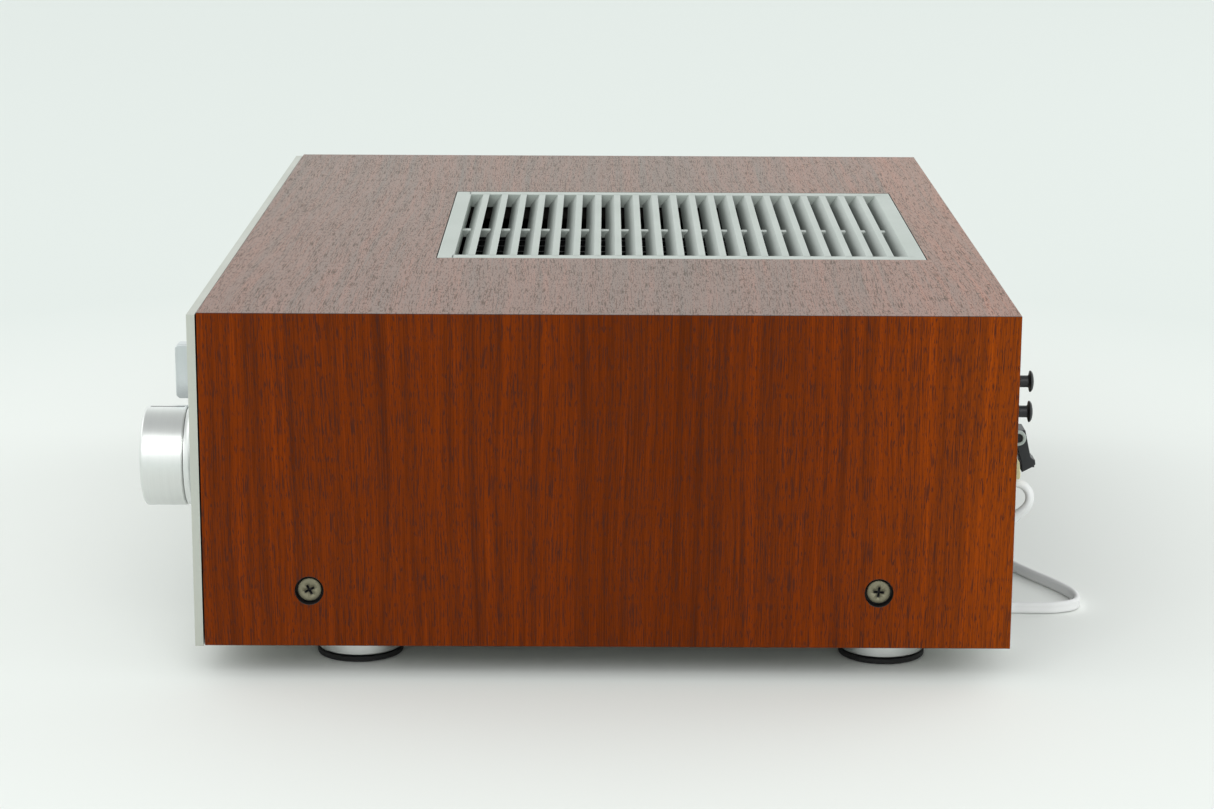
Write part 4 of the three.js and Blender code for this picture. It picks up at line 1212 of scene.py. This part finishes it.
# %% Case screws
HEAD_AND_SHANK = [(0, 0.0), (3.6, 0.02), (4.35, 0.14), (4.75, 0.42), (4.85, 0.8), (4.85, 2.7), (2.5, 2.7),
                  (2.5, 22), (0, 22)]
for end, turned_by in (("front", 27), ("rear", -5)):
    for side, sign in (("left", -1), ("right", 1)):
        node = f"case_screw_{end}_{side}"
        low, high = box_of(node)
        middle = centre_of(node)
        outer_face = high.x if sign > 0 else low.x
        profile = [(r, outer_face - sign * d) for r, d in HEAD_AND_SHANK]
        head = new_piece(node + "_turned", lathe(profile, "x", (0, middle.y, middle.z), 64), 40)
        for quarter in (0, 1):
            wedge = bmesh.new()
            bmesh.ops.create_cube(wedge, size=1)
            for vertex in wedge.verts:
                inward = vertex.co.x < 0
                length, thickness = (2.6, 0.62) if inward else (4.9, 1.12)
                vertex.co = (-1.9 if inward else 0.6, vertex.co.y * length, vertex.co.z * thickness)
            bmesh.ops.rotate(wedge, verts=wedge.verts,
                             matrix=Matrix.Rotation(math.radians(90 * quarter + turned_by), 3, "X"))
            bmesh.ops.scale(wedge, verts=wedge.verts, vec=(sign, 1, 1))
            bmesh.ops.translate(wedge, verts=wedge.verts, vec=(outer_face, middle.y, middle.z))
            bmesh.ops.recalc_face_normals(wedge, faces=wedge.faces)
            carved(head, new_piece("driver_point", wedge))
        # The walls of the cross get the dark finish: painted shade in the recess.
        for finish in ("nickel_screw", "painted_hole_shade"):
            head.data.materials.append(finishes[finish].material)
        for face in head.data.polygons:
            across = face.center / MM - Vector((face.center.x / MM, middle.y, middle.z))
            sunk = abs(outer_face - face.center.x / MM)
            face.material_index = 1 if across.length < 2.6 and 0.3 < sunk < 2.2 else 0
        install(head, "nickel_screw", node)
print("case screws:", 4)

# %% [markdown]
# The rear fittings are worked out from the rear edge of the case. The shorting plugs are small turned shapes: a
# pin, a slim handle and a domed cap. They close the phono inputs that are not in use, which keeps hum out.

# %% Shorting plugs
REAR = CASE_HIGH.y
for name in ("shorting_plug_upper", "shorting_plug_lower"):
    middle = centre_of(name)
    handle = soft_profile([(2.5, REAR + 6.3), (2.5, REAR + 9.7), (3.0, REAR + 10.1), (4.5, REAR + 10.4),
                           (4.5, REAR + 10.9), (3.6, REAR + 11.6), (1.8, REAR + 12.0)], 0.3)
    profile = [(0, REAR - 0.5), (1.1, REAR - 0.4), (1.5, REAR + 0.1), (1.5, REAR + 6.3), *handle, (0, REAR + 12.1)]
    plug = new_piece(name + "_turned", lathe(profile, "y", (middle.x, 0, middle.z), 48), 50)
    install(plug, "black_plastic", name)
    pin = lathe([(0, REAR - 0.8), (1.2, REAR - 0.6), (1.62, REAR), (1.62, REAR + 6.0), (0, REAR + 6.0)], "y",
                (middle.x, 0, middle.z), 32)
    fitted(name + "_pin", pin, "bright_nickel", NODE_BODY[name], 50)
print("shorting plugs:", 2)

# %% [markdown]
# Twelve phono jacks stand in two rows on a phenolic strip. The grid tree sets the plated shells, and one more run
# for each row sets the coloured insulators, white for one channel and red for the other.

# %% Phono jacks
strip_low, strip_high = box_of("jack_strip")
JACK_COLUMNS, JACK_STEP, JACK_X = 6, 16.0, 170.0
LOW_ROW, HIGH_ROW = centre_of("shorting_plug_lower").z, centre_of("shorting_plug_upper").z
strip_face = strip_low.y + 1.6
strip = box((strip_low.x, strip_high.x), (strip_low.y, strip_face), (strip_low.z, strip_high.z), ease=0.2)
install(new_piece("jack_strip_plate", strip), "phenolic", "jack_strip")
jack_row = (JACK_COLUMNS, (-JACK_STEP, 0, 0))
shell = [(3.2, strip_face - 0.2), (5.6, strip_face - 0.2), (5.6, strip_face + 0.9), (4.1, strip_face + 1.2),
         (4.1, strip_high.y - 0.3), (3.8, strip_high.y), (3.2, strip_high.y), (3.2, strip_face - 0.2)]
shells = new_piece("jack_shells", lathe(shell, "y", ORIGIN, 32), 40)
laid_out(shells, "bright_nickel", (JACK_X, 0, LOW_ROW), *jack_row, 2, (0, 0, HIGH_ROW - LOW_ROW))
install(shells, "bright_nickel", "jack_strip")
insulator = [(1.8, strip_face), (3.3, strip_face), (3.3, strip_high.y - 0.9), (1.8, strip_high.y - 0.9),
             (1.8, strip_face)]
for name, finish, height in (("lower", "red_plastic", LOW_ROW), ("upper", "white_plastic", HIGH_ROW)):
    rings = new_piece(f"jack_insulators_{name}", lathe(insulator, "y", ORIGIN, 24), 40)
    laid_out(rings, finish, (JACK_X, 0, height), *jack_row)
    install(rings, finish, body="housing")
print("jacks:", 2 * JACK_COLUMNS)

# %% [markdown]
# The speaker terminals are a row of spring levers between ears on a black block. They turn on one hinge rod with a
# light bush at each end, and under each lever is the hole that takes the bare wire, ringed in red or black for
# polarity. Bushes, rings and holes are laid out by the grid tree, and each lever's grip rides with its lever.

# %% Speaker terminals
LEVER_COUNT, LEVER_STEP, LEVER_HALF, EAR = 4, 28.0, 6.0, 1.8
eased("speaker_terminal_block", "black_plastic", 0.35)
first = centre_of("speaker_lever_1")
pivot_y, pivot_z = REAR + 9, box_of("speaker_lever_1")[1].z - 2.2
for i in range(LEVER_COUNT):
    node = f"speaker_lever_{i + 1}"
    eased(node, "black_plastic", 0.45, 3)
    low, high = box_of(node)
    x = (low.x + high.x) / 2
    ribs = None
    for k in range(3):
        height = pivot_z - 11.6 - k * 1.3
        outward = pivot_y + 8.0 - 0.1 * k
        ribs = box((x - 4.6, x + 4.6), (outward - 0.6, outward + 0.42), (height - 0.3, height + 0.3), ribs, 0.15)
    fitted(f"{node}_grip", ribs, "black_plastic", NODE_BODY[node])
wire_z = box_of("speaker_terminal_block")[0].z + 5.2
block_face = REAR + 5.6
bush = soft_profile([(2.0, 0), (3.2, 0), (3.4, 0.6), (3.4, 1.1), (3.0, 1.5), (2.0, 1.5), (2.0, 0)], 0.2)
bush.append(bush[0])
outer = first.x + LEVER_HALF + 0.3 + EAR
row_width = (LEVER_COUNT - 1) * LEVER_STEP + 2 * (LEVER_HALF + 0.3 + EAR)
hinge_end = (outer, pivot_y + 0.2, pivot_z - 0.6)
bushes = new_piece("hinge_bushes", lathe(bush, "x", ORIGIN, 40), 50)
laid_out(bushes, "grey_enamel", hinge_end, 2, (-(row_width + 1.5), 0, 0))
install(bushes, "grey_enamel", body="housing")
# A dark disc inside each bush is painted shade, for the shade within the bush.
hole_shades = new_piece("hinge_hole_shades", lathe([(0, 0), (1.9, 0), (1.9, 0.7), (0, 0.7)], "x", ORIGIN, 24), 40)
laid_out(hole_shades, "painted_hole_shade", hinge_end, 2, (-(row_width + 0.7), 0, 0))
install(hole_shades, "painted_hole_shade", body="housing")
print("speaker terminals:", LEVER_COUNT)

# %% [markdown]
# Below the levers, a ring of black or red tells the two poles of each channel apart, and a dark disc in its
# middle is painted shade, for the shade inside the hole. They are thin enough to be laid on the block rather than
# cut into it.

# %% Rings and holes for the wires
for name, finish, shift in (("minus", "black_rubber", 1), ("plus", "red_plastic", 0)):
    ring = [(2.1, block_face - 0.2), (3.3, block_face - 0.2), (3.3, block_face + 0.5),
            (2.1, block_face + 0.5), (2.1, block_face - 0.2)]
    rings = new_piece(f"wire_rings_{name}", lathe(ring, "y", ORIGIN, 32), 40)
    laid_out(rings, finish, (first.x - shift * LEVER_STEP, 0, wire_z), 2, (-2 * LEVER_STEP, 0, 0))
    install(rings, finish, body="housing")
# Painted shade: a dark disc for the shade inside each wire hole.
holes = [(0, block_face - 0.2), (2.2, block_face - 0.2), (2.2, block_face + 0.12), (0, block_face + 0.12)]
holes = new_piece("wire_holes", lathe(holes, "y", ORIGIN, 24), 40)
laid_out(holes, "painted_hole_shade", (first.x, 0, wire_z), LEVER_COUNT, (-LEVER_STEP, 0, 0))
install(holes, "painted_hole_shade", body="housing")
print("wire holes:", LEVER_COUNT)

# %% [markdown]
# The strain relief is a nylon bush snapped into the rear panel. Outside it is a sloping head with pressed grip
# lines, and inside it a long neck that holds the cord. It is the same pale ivory all through.

# %% Strain relief
relief_low, relief_high = box_of("strain_relief")
eased("strain_relief", "ivory_nylon", 0.5, 3)
ribs = None
for k in range(3):
    y = REAR + 0.6 + 2.1 * k
    ribs = box((relief_low.x - 0.35, relief_high.x + 0.35), (y - 0.4, y + 0.4),
               (relief_low.z + 7.4, relief_high.z - 1.6), ribs, 0.2)
fitted("strain_relief_ribs", ribs, "ivory_nylon")
print("relief length:", round(relief_high.y - relief_low.y, 1))

# %% [markdown]
# The plug is moulded on to the cord: a soft block with finger ribs on its sides, a ringed neck where the
# cord leaves it, and two plated blades with the usual hole near the tip.

# %% Mains plug
plug_x, plug_y, plug_z = -294.95, 124.1, 6.5
outline = [(-4.6, -0.2), (-7.4, -6.5), (-12, -12), (-12, -29.5), (-10.6, -32), (10.6, -32), (12, -29.5), (12, -12),
           (7.4, -6.5), (4.6, -0.2)]
body = prism([(plug_x + x, plug_y + y) for x, y in outline], plug_z - 6.3, plug_z + 6.3, "z", ease=1.4, segments=4)
plug_body = new_piece("mains_plug_body", body, 50)
install(plug_body, "black_plastic", "mains_plug")
rib = box((-12.35, 12.35), (-0.5, 0.5), (-3.9, 3.9), ease=0.3)
finger_ribs = new_piece("plug_finger_ribs", rib)
laid_out(finger_ribs, "black_plastic", (plug_x, plug_y - 15, plug_z), 6, (0, -2.3, 0))
install(finger_ribs, "black_plastic", body="housing")
neck = [(0, -2.0)]
for k in range(6):
    y, radius = -1.4 + 2.6 * k, 4.6 - 0.16 * k
    neck += [(radius, y), (radius, y + 1.5), (radius - 0.9, y + 1.8), (radius - 0.9, y + 2.4)]
neck += [(3.1, 14.3), (2.5, 14.6), (0, 14.6)]
neck = lathe([(r, plug_y + y) for r, y in neck], "y", (plug_x, 0, plug_z + 0.3), 40)
fitted("plug_neck", neck, "black_plastic", sharp_angle=40)
blades = None
for x in (-6.35, 6.35):
    blades = box((plug_x + x - 0.75, plug_x + x + 0.75), (plug_y - 48.9, plug_y - 31),
                 (plug_z - 3.1, plug_z + 3.1), blades, 0.28)
plug_blades = new_piece("plug_blades", blades)
hole = lathe([(0, -12), (1.6, -12), (1.6, 12), (0, 12)], "x", (plug_x, plug_y - 44.5, plug_z), 28)
carved(plug_blades, new_piece("blade_hole", hole))
install(plug_blades, "bright_nickel", body="housing")
print("blades:", 2)

# %% [markdown]
# The spare cord is held by a flat tie, a closed loop round all its turns. It is a block with a block-shaped gap cut
# through it, a little larger than the coil's section.

# %% Cord tie
COIL_INNER, COIL_OUTER = COIL_RADII[-1] - 1.7, COIL_RADII[0] + 1.7
wall, tie_top = 0.55, 11.9
outline = [(COIL_INNER - wall, 0.08), (COIL_OUTER + wall, 0.08), (COIL_OUTER + wall, tie_top),
           (COIL_INNER - wall, tie_top)]
tie = new_piece("cord_tie", prism([(COIL_CENTRE.x + u, v) for u, v in outline], -2.4, 2.4, "y", ease=0.5))
gap = [(COIL_INNER, 0.62), (COIL_OUTER, 0.62), (COIL_OUTER, tie_top - wall), (COIL_INNER, tie_top - wall)]
carved(tie, new_piece("tie_gap", prism([(COIL_CENTRE.x + u, v) for u, v in gap], -6, 6, "y", ease=0)))
tie.data.transform(Matrix.Translation((0, COIL_CENTRE.y * MM, 0)))
install(tie, "black_rubber", body="housing")

# %% [markdown]
# Inside, the transformer is a stack of iron plates clamped by four long bolts, with the copper windings wrapped in
# paper round its middle leg. Solder tags stand along the top of the winding.

# %% Transformer
eased("transformer_core", "core_iron", 0.4, 3)
eased("transformer_coil", "winding_paper", 0.8, 3)
core_low, core_high = box_of("transformer_core")
core_mid = (core_low + core_high) / 2
hexagon = [(3.6 * math.cos(math.radians(60 * k)), 3.6 * math.sin(math.radians(60 * k))) for k in range(6)]
for name, y0, y1 in (
    ("heads", core_low.y - 3.6, core_low.y + 0.2),
    ("nuts", core_high.y - 0.2, core_high.y + 4.2),
):
    bolts = new_piece(f"core_bolt_{name}", prism(hexagon, y0, y1, "y", ease=0.35))
    laid_out(bolts, "zinc_steel", (core_mid.x - 41, 0, core_low.z + 8), 2, (82, 0, 0), 2, (0, 0, 64))
    install(bolts, "zinc_steel", body="housing")
coil_low, coil_high = box_of("transformer_coil")
tag = box((-1.1, 1.1), (-0.3, 0.3), (-2, 5.2), ease=0.15)
for name, y in (("front", coil_low.y + 6), ("rear", coil_high.y - 6)):
    tags = new_piece(f"coil_tags_{name}", tag.copy())
    laid_out(tags, "bright_nickel", (core_mid.x - 22.5, y, coil_high.z), 6, (9, 0, 0))
    install(tags, "bright_nickel", body="housing")
tag.free()
print("core bolts:", 4, "tags:", 12)

# %% [markdown]
# The two filter capacitors are tall cans in shrunk blue sleeves. Each has a rolled groove near the top, a brown
# disc with two screw terminals, and stands in a metal clamp.

# %% Filter capacitors
for end in ("front", "rear"):
    node = f"filter_capacitor_{end}"
    low, high = box_of(node)
    middle, radius = centre_of(node), (high.x - low.x) / 2
    profile = soft_profile([(0, low.z), (radius, low.z), (radius, high.z - 9), (radius - 1.6, high.z - 7.5),
                            (radius, high.z - 6), (radius, high.z - 1), (radius - 1, high.z), (radius - 2.6, high.z),
                            (radius - 3, high.z - 2), (0, high.z - 2)], 1.0)
    can = new_piece(node + "_can", lathe(profile, "z", (middle.x, middle.y, 0), 96), 50)
    install(can, "blue_sleeve", node)
    disc = [(0, high.z - 2.2), (radius - 3.1, high.z - 2.2), (radius - 3.1, high.z - 1.2), (0, high.z - 1.2)]
    fitted(node + "_disc", lathe(disc, "z", (middle.x, middle.y, 0), 64), "phenolic")
    stud = soft_profile([(0, 0), (5.2, 0), (5.2, 2.4), (4.2, 3.0), (4.2, 5.0), (2.6, 5.6), (0, 5.6)], 0.4)
    studs = new_piece(node + "_studs", lathe(stud, "z", ORIGIN, 32), 40)
    laid_out(studs, "bright_nickel", (middle.x - 11, middle.y, high.z - 1.3), 2, (22, 0, 0))
    install(studs, "bright_nickel", body="housing")
    clamp = soft_profile([(radius + 0.05, low.z + 4), (radius + 1.2, low.z + 4), (radius + 1.2, low.z + 20),
                          (radius + 0.05, low.z + 20), (radius + 0.05, low.z + 4)], 0.3)
    clamp.append(clamp[0])
    clamp = lathe(clamp, "z", (middle.x, middle.y, 0), 96)
    fitted(node + "_clamp", clamp, "zinc_steel", sharp_angle=50)
print("capacitors:", 2)

# %% [markdown]
# Four power transistors sit on the outer legs of the heat sinks: steel diamonds with a round can on them and a
# screw at each end. Diamond, can and screws are one mesh, and the grid tree sets it twice on each side.

# %% Heat sinks and power transistors
for side, sign in (("left", -1), ("right", 1)):
    refine(f"heat_sink_{side}", "black_anodised")
    low, high = box_of(f"heat_sink_{side}")
    face = sign * max(abs(low.x), abs(high.x))
    flange = [(-19.5, 0), (-15, -7), (-5, -13), (5, -13), (15, -7),
              (19.5, 0), (15, 7), (5, 13), (-5, 13), (-15, 7)]
    near, far = sorted((face, face + sign * 1.6))
    body = prism(flange, near, far, "x", ease=0.4)
    can = [(0, 0.8), (10.6, 0.8), (10.6, 2.6), (9.8, 3.2), (9.8, 6.6), (9.0, 7.6), (0, 7.6)]
    body = lathe([(r, face + sign * d) for r, d in soft_profile(can, 0.6)], "x", ORIGIN, 48, body)
    for y in (-15.1, 15.1):
        screw = [(0, 1.2), (3.0, 1.2), (3.0, 2.6), (2.2, 3.4), (0, 3.4)]
        body = lathe([(r, face + sign * d) for r, d in screw], "x", (0, y, 0), 24, body)
    parts = new_piece(f"power_transistors_{side}", body, 40)
    laid_out(parts, "bright_nickel", (0, high.y - 78, 48), 2, (0, 48, 0))
    install(parts, "bright_nickel", body="housing")
print("power transistors:", 4)

# %% [markdown]
# The boards carry resistors, capacitors and small transistors. The board tree strews them with a fixed seed, so
# each kind of part takes its own places on the same lattice and no two parts meet.

# %% Circuit boards
PARTS = [
    ("resistors", 0, "ivory_nylon", "phenolic",
     [(0, -4.6), (1.3, -4.4), (1.5, -3), (1.1, -2.2), (1.1, 2.2), (1.5, 3), (1.3, 4.4), (0, 4.6)], "x", 1.9),
    ("electrolytics", 1, "blue_sleeve", "blue_sleeve",
     [(0, 0), (4, 0), (4, 9.2), (3.5, 10), (4, 10.8), (3.6, 12), (0, 12)], "z", 0),
    ("small_transistors", 2, "bright_nickel", "zinc_steel",
     [(0, 0), (4.4, 0), (4.4, 0.8), (3.9, 0.9), (3.9, 5.6), (3.5, 6.2), (0, 6.2)], "z", 0.6),
    ("film_capacitors", 3, "red_plastic", "phenolic", None, "z", 0),
    ("more_resistors", 4, "ivory_nylon", "phenolic",
     [(0, -3.2), (1.0, -3), (1.0, 3), (0, 3.2)], "x", 1.4),
]
for board, columns, rows, seed in (("power_amp_board", 13, 15, 4), ("phono_board", 9, 8, 11)):
    refine(board, "phenolic")
    low, high = box_of(board)
    middle = (low + high) / 2
    for name, kind, finish, slot, profile, axis, lift in PARTS:
        if profile:
            shape = lathe(profile, axis, (0, 0, lift), 20)
        else:
            shape = box((-4, 4), (-1.9, 1.9), (0, 8), ease=0.8)
        piece = copied(new_piece(f"{board}_{name}", shape, 40), board_tree, finish, (middle.x, middle.y, high.z),
                       **{"Size X": (high.x - low.x - 14) * MM, "Size Y": (high.y - low.y - 14) * MM,
                          "Columns": columns, "Rows": rows, "Kind": kind, "Seed": seed})
        install(piece, finish, body="housing")
print("kinds of part on each board:", len(PARTS))

# %% [markdown]
# The rear panel also carries what any amplifier of this kind needs: a fuse holder, a ground post, two outlets, and
# the screws along its edge. None of them stands out past the wood.

# %% Rear panel fittings
panel_low, panel_high = box_of("rear_panel")
panel_back = panel_high.y
FITTING_Z = 48


def turned_behind(profile, x, z, segments):
    """Turns a profile of (radius, distance behind the rear panel)."""
    return lathe([(r, panel_back + d) for r, d in profile], "y", (x, 0, z), segments)


fuse = soft_profile([(0, -0.2), (8.5, -0.2), (8.5, 1.2), (7.2, 1.5), (6.6, 1.5), (6.4, 4.2), (0, 4.2)], 0.4)
fuse = new_piece("fuse_holder", turned_behind(fuse, -150, FITTING_Z, 48), 40)
carved(fuse, new_piece("fuse_slot", box((-156, -144), (panel_back + 3.2, panel_back + 6), (47.2, 48.8), ease=0)))
install(fuse, "black_plastic", body="housing")
post = soft_profile([(0, -0.2), (5.6, -0.2), (5.6, 0.8), (3.9, 0.9), (3.9, 3.8), (3.3, 4.2), (0, 4.2)], 0.3)
fitted("ground_post", turned_behind(post, 66, HIGH_ROW, 12), "brass", sharp_angle=25)
outlet = new_piece("outlets", box((-16, 16), (panel_back - 0.2, panel_back + 2.6), (-12, 12), ease=0.8))
for x in (-6.35, 6.35):
    slot = box((x - 1, x + 1), (panel_back + 0.6, panel_back + 5), (-4, 4), ease=0)
    carved(outlet, new_piece("outlet_slot", slot))
laid_out(outlet, "black_plastic", (-108, 0, FITTING_Z), 2, (42, 0, 0))
install(outlet, "black_plastic", body="housing")
print("outlets:", 2)

# %% [markdown]
# Ten screws hold the panel, five along its top and five along its bottom edge. Thin printed frames group the
# fittings, as they do on such panels, with no lettering.

# %% Rear screws and printed frames
SCREW_COLUMNS, SCREW_INSET_X, SCREW_INSET_Z = 5, 8, 7
screw = soft_profile([(0, -0.2), (3.1, -0.2), (3.1, 0.6), (2.5, 1.5), (0, 1.8)], 0.3)
screws = new_piece("rear_screws", turned_behind(screw, 0, 0, 24), 40)
carved(screws, new_piece("screw_slot", box((-2.2, 2.2), (panel_back + 0.9, panel_back + 3), (-0.4, 0.4), ease=0)))
screw_step = (panel_high.x - panel_low.x - 2 * SCREW_INSET_X) / (SCREW_COLUMNS - 1)
laid_out(screws, "nickel_screw", (panel_low.x + SCREW_INSET_X, 0, panel_low.z + SCREW_INSET_Z), SCREW_COLUMNS,
         (screw_step, 0, 0), 2, (0, 0, panel_high.z - panel_low.z - 2 * SCREW_INSET_Z))
install(screws, "nickel_screw", body="housing")
frames = None
for x0, x1, z0, z1 in ((82, 180, 92, 128), (46, 156, 60, 94), (-131, -43, 33, 63), (-160, -140, 36, 60)):
    for x in (x0, x1):
        frames = box((x - 0.3, x + 0.3), (panel_back - 0.1, panel_back + 0.08), (z0, z1), frames, 0)
    for z in (z0, z1):
        frames = box((x0 + 0.3, x1 - 0.3), (panel_back - 0.1, panel_back + 0.08), (z - 0.3, z + 0.3), frames, 0)
fitted("printed_frames", frames, "pale_ink")
print("rear screws:", 2 * SCREW_COLUMNS)

# %% [markdown]
# The strain relief and the plug go with the cord. Last, the nodes still shown without one of the finishes are
# listed, and the size of everything shown is printed.

finish_names = {finish.material.name for finish in finishes.values()}
plain = [node for node, shown in frame["nodes"].items()
         if not shown.hide_render and shown.data.materials[0].name not in finish_names]
print("nodes without a finish:", plain)

low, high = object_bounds()
print("visual size in mm:", [round(v / MM, 1) for v in high - low])
